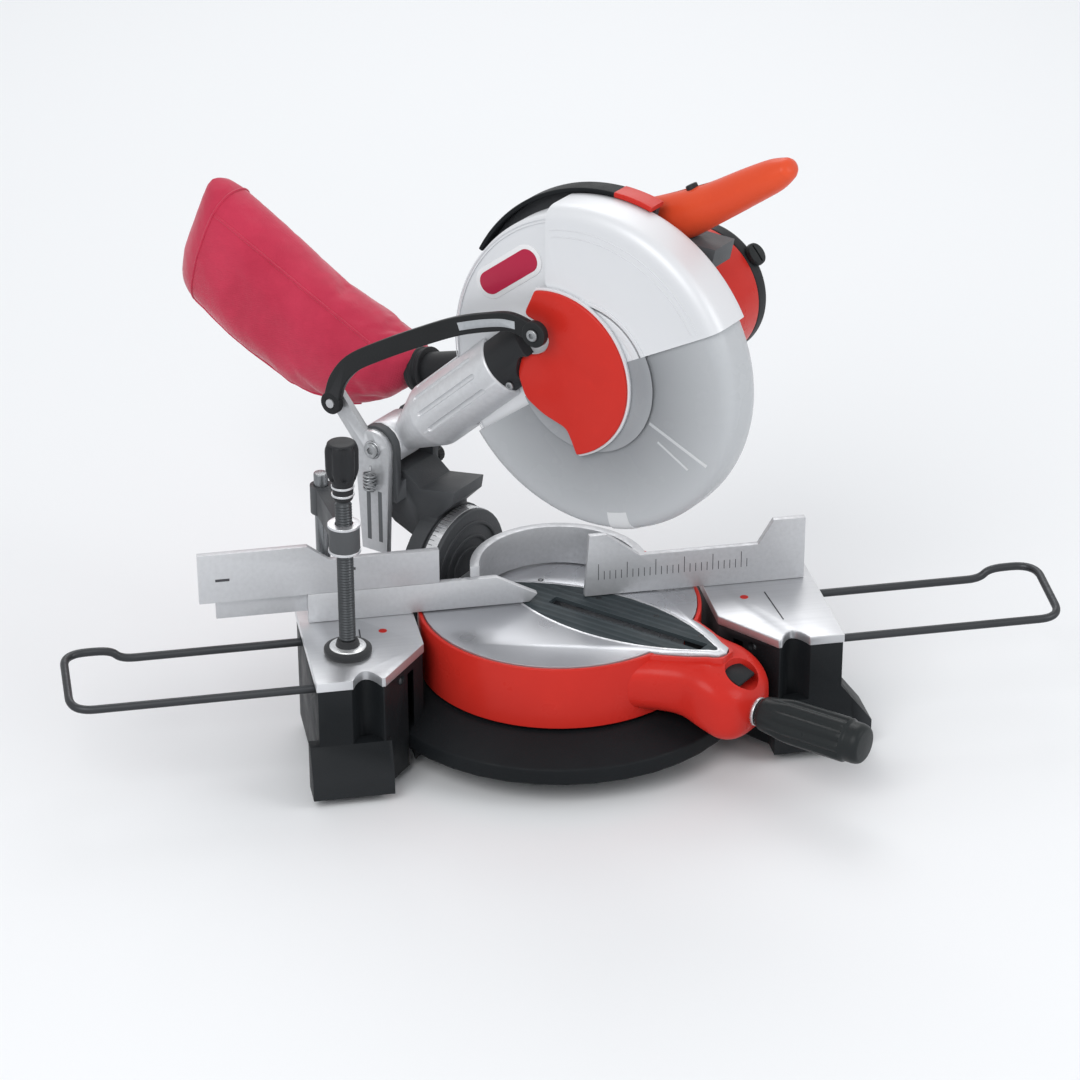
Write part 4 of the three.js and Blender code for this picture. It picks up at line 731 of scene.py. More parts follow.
dark_casting = powder_coat("dark_casting_paint", (0.055, 0.058, 0.062), (0.25, 0.26, 0.27), 600, 0.45)
post_steel = metal("ground_post_steel", (0.22, 0.23, 0.24), 0.3, (900, 900, 20))
dark_thread = metal("dark_thread_steel", (0.075, 0.08, 0.085), 0.38, (500, 500, 60), 0.75)
bright_ring = machined("turned_rings", (0.62, 0.63, 0.65), (40, 40, 1500), 0.3)

post = rod("vise_post_turned", 6, 84, 243, at_point(*POST, 0), 48, soft=1.2)
settle(post, post_steel, "base", ["vise_post"])
dress("vise_arm", "vise_arm_cast", 1.2, dark_casting, "vise_arm", angle=30)
for low in (ARM_LOW - 0.2, ARM_HIGH - 2.2):
    ring = hoop(f"vise_ring_{int(low)}", 7.4, 13.6, low, low + 2.4, 0.5, at_point(*FEED, 0), steps=64)
    settle(ring, bright_ring, "vise_arm", [])


def thread_profile(radius, low, high, pitch, depth):
    """Closely set turned ridges that read as a screw thread."""
    root = radius - depth
    profile = [(0, low), (root, low)]
    along = low + 1
    while along + pitch < high - 1:
        profile += [(root, along), (radius, along + pitch * 0.35), (radius, along + pitch * 0.55),
                    (root, along + pitch * 0.9)]
        along += pitch
    return profile + [(root, high), (0, high)]


thread = thread_profile(THREAD_RADIUS, PAD_LOW + 12.3, KNOB_LOW - 0.3, THREAD_PITCH, THREAD_DEPTH)
screw = turned("vise_thread", thread, at_point(*FEED, 0), steps=40)
settle(screw, dark_thread, "vise_screw", ["vise_screw"], crease=60)
pad_profile = ease([(0, PAD_LOW), (19, PAD_LOW), (20, PAD_LOW + 1.4), (20, PAD_LOW + 5), (17, PAD_LOW + 6.2),
                    (10.5, PAD_LOW + 6.2), (9, PAD_LOW + 12), (0, PAD_LOW + 12)], 1)
pad = turned("vise_pad_rubber", pad_profile, at_point(*FEED, 0), steps=72)
pad_rubber = moulded("pad_rubber", (0.03, 0.031, 0.033), 0.7, 500, sheen=0.2)
settle(pad, pad_rubber, "vise_pad", ["vise_pad"])
disc_profile = [(9.2, PAD_LOW + 5.8), (15.5, PAD_LOW + 5.8), (15, PAD_LOW + 7), (9.6, PAD_LOW + 7.6)]
disc = turned("vise_pad_disc", ease(disc_profile, 0.4, True), at_point(*FEED, 0), steps=72)
disc_metal = machined("pad_disc_metal", (0.8, 0.81, 0.82), (300, 300, 300), 0.35)
settle(disc, disc_metal, "vise_pad", [])
knob_profile = ease([
    (0, KNOB_LOW), (7, KNOB_LOW), (8.6, 256), (8.8, 268), (12.2, 275), (13.6, 280), (13.8, 299),
    (11.5, KNOB_HIGH), (0, KNOB_HIGH),
], 2.2)
knob = turned("vise_knob_fluted", knob_profile, at_point(*FEED, 0), steps=120,
              shape=scalloped(6, 2.6, 274, 303))
settle(knob, knob_plastic, "vise_screw", ["vise_knob"])
for low in (258, 265):
    ring = hoop(f"knob_ring_{low}", 8, 9.5, low, low + 2, 0.4, at_point(*FEED, 0), steps=48)
    settle(ring, bright_ring, "vise_screw", [])

# Turntable: a machined aluminium plate with cutter rings about its centre, carried in a red side band.
# The dark kerf board is let into it, grooved along its length, and slotted for the blade.
TOP_RADIUS, FIT = 117.5, 0.3
KERF_FRONT, KERF_REAR, KERF_HALF, KERF_TIP, LENS_STEPS = 158, 60, 36, 3, 28
BAND, BAND_LOW, BAND_HIGH = 121, 55, 111


def saw_point(ahead, high, left):
    """A place on the saw's own axes: ahead along the blade, up, and to the left, in millimetres."""
    return SAW @ Matrix.Translation((ahead, high, left))


TURNED_UP = Matrix.Rotation(math.radians(-90), 4, "X")


def upright(ahead=0.0, high=0.0, left=0.0):
    """A place on the saw's axes whose own Z stands up and whose X looks ahead, so its Y is to the right."""
    return saw_point(ahead, high, left) @ TURNED_UP


def lens_outline(grow):
    """The kerf board seen from above: two arcs that meet in rounded tips, grown on all sides."""
    half = (KERF_FRONT + KERF_REAR) / 2
    middle = (KERF_FRONT - KERF_REAR) / 2
    radius = (half * half + KERF_HALF * KERF_HALF) / (2 * KERF_HALF)
    tip = KERF_TIP + grow
    points = []
    for side in (1, -1):
        for step in range(LENS_STEPS):
            along = -(half + grow) * math.cos(math.pi * step / LENS_STEPS)
            past_tip = abs(along) - (half + grow - tip)
            width = max(math.sqrt((radius + grow) ** 2 - along * along) - (radius - KERF_HALF), tip)
            if past_tip > 0:
                width = math.sqrt(max(tip * tip - past_tip * past_tip, 0))
            points.append((middle + side * along, side * width))
    return points


def lens_block(name, grow, low, high, width=0.0):
    """The kerf board's outline, grown on all sides and raised from low to high."""
    return drawn_outline(name, [(x, -y) for x, y in lens_outline(grow)], low, high, upright(), width)


def ringed(name, colour, rings, middle, roughness=0.3, metallic=0.7):
    """Faced metal: fine cutter rings about a middle point on the bench, clouded a little."""
    made = Finish(name, colour, roughness, metallic)
    centred = made.tree.nodes.new("ShaderNodeMapping")
    centred.inputs["Location"].default_value = [-c for c in middle]
    made.link(made.place, centred.inputs["Vector"])
    wave = made.tree.nodes.new("ShaderNodeTexWave")
    wave.wave_type = "RINGS"
    wave.rings_direction = "Z"
    wave.inputs["Scale"].default_value = rings
    wave.inputs["Distortion"].default_value = 0.6
    wave.inputs["Detail"].default_value = 3
    made.link(centred.outputs[0], wave.inputs["Vector"])
    made.sprinkle(made.remap(wave.outputs["Fac"], 0.2, 0.8, 0, 0.3), [c * 0.88 for c in colour])
    made.sprinkle(made.remap(made.cloud(6, 4), 0.42, 0.72, 0, 0.3), [c * 1.1 for c in colour])
    # Painted highlight on the edges, as on machined metal.
    made.edge_wear_and_highlight(PAINTED_EDGE_HIGHLIGHT, 0.5)
    made.raised(wave.outputs["Fac"], 0.00012, 0.05)
    made.patchy(made.cloud(14), 0.05)
    return made.done()


turntable_metal = ringed("faced_turntable", (0.44, 0.45, 0.475), 220, (0, 0, 0))
dress("turntable", "turntable_body", 0.5, turntable_metal, "turntable")
trim = lens_block("kerf_margin", 2.6, TABLE_TOP - 1.5, TABLE_TOP + 0.18, 0.15)
inner = lens_block("hole", 0.4, TABLE_TOP - 9, TABLE_TOP + 9)
pale_margin = machined("pale_margin", (0.60, 0.61, 0.63), (600, 600, 600), 0.4)
settle(carved(trim, inner), pale_margin, "turntable", [])


def slate_board(name):
    """Dark moulded board with long shallow grooves that run ahead along the slot."""
    made = Finish(name, (0.032, 0.042, 0.047), 0.55)
    lines = made.tree.nodes.new("ShaderNodeTexWave")
    lines.bands_direction = "X"
    lines.inputs["Scale"].default_value = 42
    lines.inputs["Distortion"].default_value = 0
    made.link(made.stretched((1, 1, 1), (0, 0, -45)), lines.inputs["Vector"])
    made.sprinkle(made.remap(lines.outputs["Fac"], 0.55, 0.95, 0, 0.5), (0.065, 0.08, 0.088))
    made.sprinkle(made.remap(made.cloud(20, 5), 0.5, 0.8, 0, 0.5), (0.07, 0.082, 0.088))
    made.raised(lines.outputs["Fac"], 0.0005, 0.5)
    made.patchy(made.cloud(50), 0.08)
    return made.done()


board_plastic = slate_board("slate_kerf_board")
dress("kerf_board", "kerf_board_moulded", 0.3, board_plastic, "turntable")
for ahead, right in ((-34, 22), (26, 22), (84, 22), (134, 13)):
    cap_screw(f"kerf_screw_{ahead}".replace("-", "rear_"), upright(ahead, TABLE_TOP - 0.6, -right), 2.6, 0.8,
              black_screw, "turntable", 0.55)

# Turntable cover: the red moulded band round the turntable, drawn out ahead into a rounded nose
# with an oval thumb opening in its top. The black detent paddle shows inside the opening.
NOSE_TOP, NOSE_FRONT, NOSE_SIDES, NOSE_SQUARE = 103.4, 198, 48, 0.6
NOSE_STATIONS = (
    (0.5, 62, 57, -6), (0.63, 47, 57, -6), (0.73, 40, 55, -5.5), (0.83, 40, 48, -3), (0.91, 37, 43, 4),
    (0.97, 28, 46, 13), (1, 14, 55, 24),
)


def glossy_plastic(name, colour, deep, roughness=0.32):
    """Bright moulded plastic: a slightly deeper tone in clouds, pale rubbed edges and a thin clear skin."""
    made = Finish(name, colour, roughness)
    made.sprinkle(made.remap(made.cloud(7, 3), 0.35, 0.75, 0, 0.55), deep)
    made.sprinkle(made.remap(made.cloud(90, 3), 0.55, 0.8, 0, 0.12), [min(1, c * 1.3) for c in colour])
    made.edge_wear_and_highlight([min(1, c * 1.1 + 0.08) for c in colour], 0.4)
    made.raised(made.cloud(420, 2), 0.0002, 0.25)
    made.patchy(made.cloud(30), 0.07)
    return made.done(Coat_Weight=0.08, Coat_Roughness=0.18)


def smooth_through(stations, steps):
    """Runs a smooth curve through rows of numbers, so a loft between them has no kinks."""
    rows = []
    last = len(stations) - 1
    for at in range(last):
        p0, p1 = Vector(stations[max(at - 1, 0)]), Vector(stations[at])
        p2, p3 = Vector(stations[at + 1]), Vector(stations[min(at + 2, last)])
        square, cube = 2 * p0 - 5 * p1 + 4 * p2 - p3, 3 * p1 - p0 - 3 * p2 + p3
        for step in range(steps):
            t = step / steps
            rows.append(0.5 * (2 * p1 + (p2 - p0) * t + square * t * t + cube * t ** 3))
    return rows + [Vector(stations[-1])]


def lofted(name, rings, place):
    """Skins a row of rings of points and closes both ends."""
    shell = bmesh.new()
    rows = [[shell.verts.new(place @ Vector(p)) for p in ring] for ring in rings]
    count = len(rings[0])
    for one, two in zip(rows, rows[1:]):
        for at in range(count):
            nxt = (at + 1) % count
            shell.faces.new([one[at], one[nxt], two[nxt], two[at]])
    shell.faces.new(rows[0])
    shell.faces.new(list(reversed(rows[-1])))
    return sealed(name, shell)


def swell(value, half, power):
    return math.copysign(abs(value) ** power * half, value)


def nose_rings():
    """The nose's cross sections: share of the way ahead, half width, foot and drop below the top."""
    rings = []
    for share, half, low, drop in smooth_through(NOSE_STATIONS, 6):
        top = NOSE_TOP - drop
        ring = []
        for side in range(NOSE_SIDES):
            turn = 2 * math.pi * side / NOSE_SIDES
            rise = (top + low) / 2 + swell(math.sin(turn), (top - low) / 2, NOSE_SQUARE)
            ring.append((share * NOSE_FRONT, rise, swell(math.cos(turn), half, NOSE_SQUARE)))
        rings.append(ring)
    return rings


cover_red = glossy_plastic("cover_red", (0.60, 0.030, 0.020), (0.50, 0.018, 0.014))
band = hoop("turntable_band", TOP_RADIUS + FIT, BAND + FIT, BAND_LOW, BAND_HIGH, 1.2, upright(),
            start=-140, sweep=258, steps=130)
nose = lofted("cover_nose", nose_rings(), SAW)
thumb = [(182 + 13 * math.cos(k * math.pi / 20), 17 * math.sin(k * math.pi / 20)) for k in range(40)]
thumb_room = drawn_outline("thumb_room", thumb, 84, 130, upright())


def box_room(name, s0, s1, h0, h1, w0, w1):
    return drawn_outline(name, [(s0, h0), (s1, h0), (s1, h1), (s0, h1)], w0, w1, SAW)


def drum_room():
    return rod("drum_room", TOP_RADIUS + FIT, 0, 220, upright(), 160)


def nose_rooms():
    """Room for the turntable's tongue and for the blade, cut out of every red piece ahead."""
    return [
        lens_block("tongue_room", 9.3, NOSE_TOP, 130),
        box_room("blade_room", 0, 150, 84, 130, -14, 14),
    ]


GRIP_HEIGHT = 66
FORWARD = Matrix.Rotation(math.radians(90), 4, "Y")
grip_place = saw_point(0, GRIP_HEIGHT, 0) @ FORWARD
paddle_room = box_room("paddle_room", 163, 190, 86, 97, -14, 14)
shaft_room = rod("shaft_room", 6.4, 148, 230, grip_place, 32)
nose = carved(nose, drum_room(), thumb_room, paddle_room, shaft_room, *nose_rooms())
settle(nose, cover_red, "turntable", ["turntable_cover"])


def round_the_tongue(name, outer, inner, low, high, first, last):
    """A red wall that follows the tongue's edge between two distances ahead."""
    wall = lens_block(name, outer, low, high, 0.5)
    hole = lens_block("hole", inner, low - 9, high + 9)
    behind = box_room("behind", -200, first, 0, 220, -90, 90)
    ahead = box_room("ahead", last, 300, 0, 220, -90, 90)
    return settle(carved(wall, hole, drum_room(), behind, ahead), cover_red, "turntable", [])


round_the_tongue("tongue_lip", 12.6, 9.5, 100, 110.4, 100, 168.6)
liner = box_room("slot_liner", 118.4, 149.7, 84.3, 103.1, -13.7, 13.7)
liner = carved(liner, box_room("liner_room", 110, 148.4, 85.6, 130, -12.4, 12.4))
settle(liner, knob_plastic, "turntable", [])
band = carved(band, *nose_rooms())
settle(band, cover_red, "turntable", [])

dress("detent_lever", "detent_paddle", 1.0, black_coat, "detent_lever")

# Turntable grip: a moulded black handle with ten flutes that screws in on a turned steel shaft.
# A bright ring sits at its root.
GRIP_START, GRIP_END = 201, 301
grip_profile = ease([
    (0, GRIP_START), (11.4, GRIP_START), (14.6, GRIP_START + 4), (16, GRIP_START + 14), (18, GRIP_START + 23),
    (19, 232), (19.2, 282), (18.6, 285), (17.2, 287), (17.2, 296), (15, 300.6), (0, GRIP_END),
], 2.4)
grip_black = moulded("grip_black", (0.02, 0.023, 0.024), 0.34, 600)
grip = turned("turntable_grip_fluted", grip_profile, grip_place, steps=240,
              shape=scalloped(10, 2.0, 218, 284))
settle(grip, grip_black, "grip", ["turntable_grip"])
shaft_steel = metal("turned_shaft", (0.5, 0.51, 0.53), 0.28, (40, 900, 900))
shaft = rod("grip_shaft_turned", 6, 153, 280, grip_place, 40, soft=1)
settle(shaft, shaft_steel, "turntable", ["grip_shaft"])
root_profile = ease([(6.2, 196.6), (11, 196.6), (12.4, 198), (12.4, 200.6), (6.2, 200.6)], 0.6, True)
root_ring = turned("grip_root_ring", root_profile, grip_place, steps=64)
settle(root_ring, bright_ring, "turntable", [])

# Bevel joint behind the turntable: a dark cast hub with a bright scale sector along its rim,
# and the tilting arm clamped against it by one bolt and a black lever.
HUB_RADIUS, SECTOR_RADIUS = 56, 56.5
hub_place = saw_point(0, TABLE_TOP, 0) @ FORWARD


def tick_ring_tree(name, material):
    """Ticks round a circle, drawn at radius and standing along the axis, for dials and sectors."""
    tree, given, out = geometry_tree(name, Count=19, Radius=0.05, From=0.0, Step=0.1, Length=0.003,
                                     Width=0.0005, Proud=0.0003)
    line = tree.nodes.new("GeometryNodeMeshLine")
    tree.links.new(given.outputs["Count"], line.inputs["Count"])
    index = tree.nodes.new("GeometryNodeInputIndex").outputs[0]
    turn = math_node(tree, "MULTIPLY_ADD", index, given.outputs["Step"], given.outputs["From"])
    spot = vector_node(tree, **{
        axis: math_node(tree, "MULTIPLY", math_node(tree, wave, turn), given.outputs["Radius"])
        for axis, wave in (("X", "COSINE"), ("Y", "SINE"))
    })
    spin = vector_node(tree, Z=turn)
    size = vector_node(tree, X=given.outputs["Proud"], Y=given.outputs["Width"], Z=given.outputs["Length"])
    bar = tree.nodes.new("GeometryNodeMeshCube")
    bar.inputs["Size"].default_value = (1, 1, 1)
    done = chain(
        tree, line.outputs["Mesh"],
        ("GeometryNodeSetPosition", {"Position": spot}),
        ("GeometryNodeInstanceOnPoints", {"Instance": bar.outputs["Mesh"], "Rotation": spin, "Scale": size}),
        ("GeometryNodeRealizeInstances", {}),
        ("GeometryNodeSetMaterial", {"Material": material}),
    )
    tree.links.new(done, out.inputs["Geometry"])
    return tree


def metres(place):
    """The same place, for a mesh that is already in metres."""
    return place @ Matrix.Diagonal((1 / MM, 1 / MM, 1 / MM, 1))


dress("rear_bracket", "bevel_hub", 1.2, dark_casting, "turntable")
sector = hoop("bevel_scale_sector", HUB_RADIUS - 1, SECTOR_RADIUS, -109, -99, 0.3, hub_place,
              start=30, sweep=120, steps=90)
settle(sector, bright_ring, "turntable", [])
ticks = tick_ring_tree("bevel_ticks", scale_paint)
tick_ring = baked("bevel_sector_ticks", blank_piece(), ticks, Count=25, Radius=SECTOR_RADIUS * MM,
                  From=math.radians(36), Step=math.radians(4.5), Length=0.005)
moved(tick_ring, metres(hub_place) @ Matrix.Translation((0, 0, -0.1065)))
settle(tick_ring, scale_paint, "turntable", [])
for inner, outer in ((20, 23), (31, 34), (43, 46)):
    arch = hoop(f"hub_arch_{inner}", inner, outer, -97, -93.6, 1, hub_place, start=8, sweep=164, steps=64)
    settle(arch, dark_casting, "turntable", [])

dress("tilting_arm", "tilting_arm_cast", 1.4, dark_casting, "tilting_arm", angle=30)
for radius in (26, 38, 50):
    arch = hoop(f"arm_rib_{radius}", radius, radius + 2.4, -127.4, -125, 0.8, hub_place,
                start=62, sweep=236, steps=72)
    settle(arch, dark_casting, "tilting_arm", [])
dress("bevel_lever", "bevel_clamp_lever", 2.2, knob_plastic, "bevel_lever")
dress("bevel_bolt", "bevel_bolt_turned", 0.8, bolt_steel, "turntable")

# Chop pivot: a shaft through the arm's two ears, the coil spring that lifts the head, and a lock pin.
# A pale cast bracket stands beside it and carries the guard's link.
PIVOT = (-165, 226)
LINK_PIVOT = (-201, 264)
EAR_RIGHT = 20.3
pivot_place = saw_point(*PIVOT, 0)
pivot_profile = ease([(0, -34.3), (12, -34.3), (12, -28.3), (8, -28.3), (8, 41), (0, 41)], 0.8)
pivot = turned("pivot_shaft_turned", pivot_profile, pivot_place, steps=64)
settle(pivot, shaft_steel, "tilting_arm", ["pivot_shaft"])
SPRING_RADIUS, SPRING_WIRE, SPRING_TURNS, SPRING_PITCH = 12, 1.4, 2.5, 3.4
spring_run = []
for step in range(int(SPRING_TURNS * 40) + 1):
    turn = 2 * math.pi * step / 40
    spring_run.append((SPRING_RADIUS * math.cos(turn), SPRING_RADIUS * math.sin(turn),
                       -EAR_RIGHT + SPRING_WIRE + 0.3 + SPRING_PITCH * step / 40))
spring_steel = metal("spring_steel", (0.28, 0.29, 0.30), 0.32)
coil_wire = wire_tree("coil_wire", spring_steel)
coil = baked("return_spring_coil", course("spring_course", spring_run, pivot_place), coil_wire,
             Radius=SPRING_WIRE * MM, Sides=14)
settle(coil, spring_steel, "tilting_arm", ["return_spring"])
pin_place = saw_point(-158, 192, 0)
pin_profile = ease([(0, -46), (7, -46), (8, -44.5), (8, -38), (7.2, -37), (4, -37), (4, -16), (0, -16)], 0.6)
pin = turned("head_lock_knob", pin_profile, pin_place, steps=72, shape=scalloped(16, 0.7, -45, -37.5))
settle(pin, knob_plastic, "head_lock_pin", ["head_lock_pin"])

bracket_metal = machined("cast_bracket", (0.50, 0.51, 0.525), (300, 300, 300), 0.42, 0.6)
dress("link_bracket", "link_bracket_cast", 1.0, bracket_metal, "tilting_arm")
BRACKET_FACE = 40.3
STAY_RADIUS, STAY_RISE, STAY_STEPS = 5, 14, 72
for ahead in (-170, -158):
    groove = box_room(f"bracket_groove_{-ahead}", ahead - 2, ahead + 2, 140, 188, BRACKET_FACE - 0.1,
                      BRACKET_FACE + 0.15)
    settle(groove, dark_casting, "tilting_arm", [])
stay_run = [(-164, 188, BRACKET_FACE + 3), (-162, 190, BRACKET_FACE + 6)]
for step in range(STAY_STEPS + 1):
    turn = step * math.pi / 8
    stay_run.append((-164 + STAY_RADIUS * math.cos(turn), 192 + step * STAY_RISE / STAY_STEPS,
                     BRACKET_FACE + 6.2 + STAY_RADIUS * math.sin(turn)))
stay_run += [(-163, 209, BRACKET_FACE + 6), (-165, 212, BRACKET_FACE + 3)]
stay = baked("guard_spring_coil", course("stay_course", stay_run, SAW), coil_wire, Radius=1.0 * MM, Sides=12)
settle(stay, spring_steel, "tilting_arm", [])
cap_screw("bracket_screw", saw_point(*PIVOT, 41), 7, 2.4, bolt_steel, "tilting_arm", 0.5)

# Head arm: a pale cast barrel with a conical rear end, grooved along its upper side.
# Its hub turns on the pivot shaft, and its front end is cut to the round of the blade case.
BARREL = (-50, 321.5, 9)
BARREL_PITCH, BARREL_RADIUS, BARREL_LENGTH, CONE_LENGTH, CONE_TIP = 41.6, 29, 94, 42, 13
ARBOR = (40, 341)
CASE_RADIUS, CASE_HALF = 134, 18.5
BOSS_RADIUS, BOSS_FACE = 60, 24.7
GUARD_PATH_RADIUS = 139.2
barrel_place = saw_point(*BARREL) @ Matrix.Rotation(math.radians(BARREL_PITCH), 4, "Z") @ FORWARD


def case_rooms():
    axis = saw_point(*ARBOR, 0)
    return [
        rod("case_room", CASE_RADIUS + FIT, -60, CASE_HALF + FIT, axis, 180),
        rod("boss_room", BOSS_RADIUS + FIT, -60, BOSS_FACE + FIT, axis, 120),
    ]


barrel = turned("head_arm_barrel", ease([
    (0, 9), (BARREL_RADIUS, 9), (BARREL_RADIUS, -BARREL_LENGTH), (CONE_TIP, -BARREL_LENGTH - CONE_LENGTH),
    (CONE_TIP, -BARREL_LENGTH - CONE_LENGTH - 22), (0, -BARREL_LENGTH - CONE_LENGTH - 22),
], 2.5), barrel_place, steps=120)
barrel_hub = rod("barrel_hub", 20, -8, 26, pivot_place, 96, soft=1.5)
grooves = []
groove_profile = ease([(0, -87), (2.6, -85), (2.6, -9), (0, -7)], 1.5)
for angle in (-18, 12, 42, 72):
    angle = math.radians(angle)
    reach = BARREL_RADIUS + 0.9
    spot = Matrix.Translation((-reach * math.cos(angle), reach * math.sin(angle), 0))
    grooves.append(turned(f"groove_{len(grooves)}", groove_profile, barrel_place @ spot, steps=20))
pivot_bore = rod("pivot_bore", 8.3, -40, 40, pivot_place, 48)
barrel_metal = machined("barrel_metal", (0.66, 0.67, 0.69), (200, 200, 200), 0.42, 0.5)
barrel = carved(barrel, barrel_hub, operation="UNION")
barrel = carved(barrel, *grooves, pivot_bore, *case_rooms())
settle(barrel, barrel_metal, "head", ["head_arm"])

# Centre cover: a red moulded plate over the blade bolt, with a concave lower left edge and a rolled rim.
# The black collar between it and the arm is cut to the round of the case and clears the guard's path.
COVER_AHEAD, COVER_HEIGHT, COVER_RADIUS = 14, 338, 71
COVER_BACK, COVER_FACE, EDGE_GROWTH = 25, 31, 1.028
COVER_TAIL = (
    (1, -71), (0.83, -72), (0.67, -74), (0.56, -104), (0.55, -134), (0.5, -165), (0.46, 178), (0.44, 160),
    (0.3, 146), (0.28, 110), (0.42, 96), (0.62, 108), (0.76, 122), (1, 105),
)


def round_the_cover(share, angle):
    angle = math.radians(angle)
    return (COVER_AHEAD + COVER_RADIUS * share * math.cos(angle),
            COVER_HEIGHT + COVER_RADIUS * share * math.sin(angle))


def cover_outline():
    points = [round_the_cover(1, 105 - 176 * k / 60) for k in range(60)]
    tail = [round_the_cover(*spot) for spot in COVER_TAIL]
    return ease(points + tail[:-1], 6, closed=True)


cover = drawn_outline("centre_cover_plate", cover_outline(), COVER_BACK, COVER_FACE, SAW, 1.6, 3)
settle(cover, cover_red, "head", ["centre_cover"])

collar = rod("arm_collar_ring", 27.5, FIT, 50, barrel_place, 96, soft=1.5)
cover_room = drawn_outline("cover_room", cover_outline(), 0, 62, SAW)
guard_profile = [(50, -24), (GUARD_PATH_RADIUS, -24), (GUARD_PATH_RADIUS, 23), (50, 23)]
guard_path = turned("guard_path", guard_profile, saw_point(*ARBOR, 0), steps=120)
collar = carved(collar, *case_rooms(), cover_room, guard_path)
settle(collar, knob_plastic, "head", ["arm_collar"])
cap_screw("collar_screw", saw_point(-27, 318, 32.4), 3.4, 2, bolt_steel, "head", 0.55)

# Blade case: two silver painted pressings joined into a shell over the rear of the blade,
# with a turned boss on each side. A plain red oval plate with a pale border is fixed to its left face.
CASE_WALL, CASE_ROUND = 2, 8
CASE_FROM, CASE_TO = 98, 219
PLATE_PLACE, PLATE_TURN, OVAL_STEPS = (-37, 412), 37, 20
arbor_place = saw_point(*ARBOR, 0)


def silver_coat(name, colour):
    """Silver-white stove enamel: very fine flake, a soft clear skin, faint clouds."""
    made = Finish(name, colour, 0.44, 0.2)
    made.sprinkle(made.remap(made.cloud(8, 3), 0.35, 0.75, 0, 0.3), [c * 0.95 for c in colour])
    made.edge_wear_and_highlight((0.88, 0.89, 0.9), 0.3)
    made.raised(made.cloud(120, 2), 0.0002, 0.02)
    made.patchy(made.cloud(25), 0.03)
    return made.done(Coat_Weight=0.15, Coat_Roughness=0.3)


def shell_profile(radius, half, wall, corner, eye):
    """Half a shell's cross section, mirrored: an outer skin, rounded at the rim, and an inner one."""
    outer = [(eye, half), (radius, half), (radius, -half), (eye, -half)]
    inner = [(eye, wall - half), (radius - wall, wall - half), (radius - wall, half - wall),
             (eye, half - wall)]
    rounded = ease(outer, corner * 1.25, steps=8)
    hollow = ease(inner, corner * 1.25 - wall, steps=8)
    return rounded + hollow


silver = silver_coat("silver_enamel", (0.71, 0.72, 0.74))
case_profile = shell_profile(CASE_RADIUS, CASE_HALF, CASE_WALL, CASE_ROUND, BOSS_RADIUS - 6)
case = turned("blade_case_shell", case_profile, arbor_place,
              start=CASE_FROM, sweep=CASE_TO - CASE_FROM, steps=110)
settle(case, silver, "head", ["blade_case"])
for side, hand in ((1, "left"), (-1, "right")):
    low, high = side * 16.5, side * BOSS_FACE
    boss = hoop(f"case_boss_{hand}", BOSS_RADIUS - 7, BOSS_RADIUS, low, high, 1, arbor_place)
    settle(boss, silver, "head", [])
web = hoop("case_web", 27, BOSS_RADIUS - 1, -CASE_HALF, CASE_WALL - CASE_HALF, 0.5, arbor_place)
settle(web, silver, "head", [])
for radius in (128.5, 131):
    top = 18.95 - (radius - 128.5) * 0.35
    step_profile = [(radius, 17.6), (radius + 1.1, 17.6), (radius + 1.1, top - 0.2), (radius, top)]
    step = turned(f"case_step_{int(radius)}", ease(step_profile, 0.3, True), arbor_place,
                  start=CASE_FROM + 10, sweep=CASE_TO - CASE_FROM - 11, steps=90)
    settle(step, silver, "head", [])


def oval(length, width):
    """A slot's outline: two straight sides and two half circles."""
    half = (length - width) / 2
    points = []
    for side in (1, -1):
        for step in range(OVAL_STEPS + 1):
            turn = math.pi * (step / OVAL_STEPS - 0.5) + (0 if side > 0 else math.pi)
            points.append((side * half + width / 2 * math.cos(turn), width / 2 * math.sin(turn)))
    return points


plate_place = saw_point(*PLATE_PLACE, 0) @ Matrix.Rotation(math.radians(PLATE_TURN), 4, "Z")
border = drawn_outline("oval_border", oval(74, 28), CASE_HALF - 0.5, CASE_HALF + 0.7, plate_place, 0.5)
settle(border, silver_coat("plate_border", (0.80, 0.80, 0.81)), "head", [])
plate_red = glossy_plastic("plate_red", (0.44, 0.02, 0.06), (0.36, 0.012, 0.045))
oval_plate = drawn_outline("oval_plate", oval(66, 20), CASE_HALF, CASE_HALF + 1.2, plate_place, 0.5)
settle(oval_plate, plate_red, "head", [])

# Front hood: a wider silver shell that closes the front of the case down to the guard.
# Its rear edge is cut upright, and two fine beads run round it near the rim.
HOOD_RADIUS, HOOD_FROM, HOOD_TO, HOOD_REAR = 142, 28, 117.2, 2.8
SHELL_WALL, SHELL_ROUND, HOOD_EYE = 2, 11, 62
hood_profile = shell_profile(HOOD_RADIUS, BOSS_FACE, SHELL_WALL, SHELL_ROUND, HOOD_EYE)
hood = turned("front_hood_shell", hood_profile, arbor_place,
              start=HOOD_FROM, sweep=HOOD_TO - HOOD_FROM, steps=110)
hood = carved(hood, box_room("behind_hood", -300, HOOD_REAR, 0, 700, -80, 80))
settle(hood, silver, "head", ["front_hood"])
for radius in (117, 123):
    bead = hoop(f"hood_bead_{radius}", radius, radius + 0.9, 24, 25.2, 0.4, arbor_place,
                start=HOOD_FROM + 2, sweep=76, steps=90)
    settle(bead, silver, "head", [])
seat_disc = hoop("cover_seat_disc", 38, 55, 19, 24.4, 0.6, arbor_place, steps=120)
settle(seat_disc, silver, "head", [])
rim_band = hoop("cover_seat_ring", BOSS_RADIUS + 2.5, BOSS_RADIUS + 6, 24, 25.6, 0.5, arbor_place,
                start=HOOD_FROM, sweep=86, steps=90)
settle(rim_band, silver, "head", [])
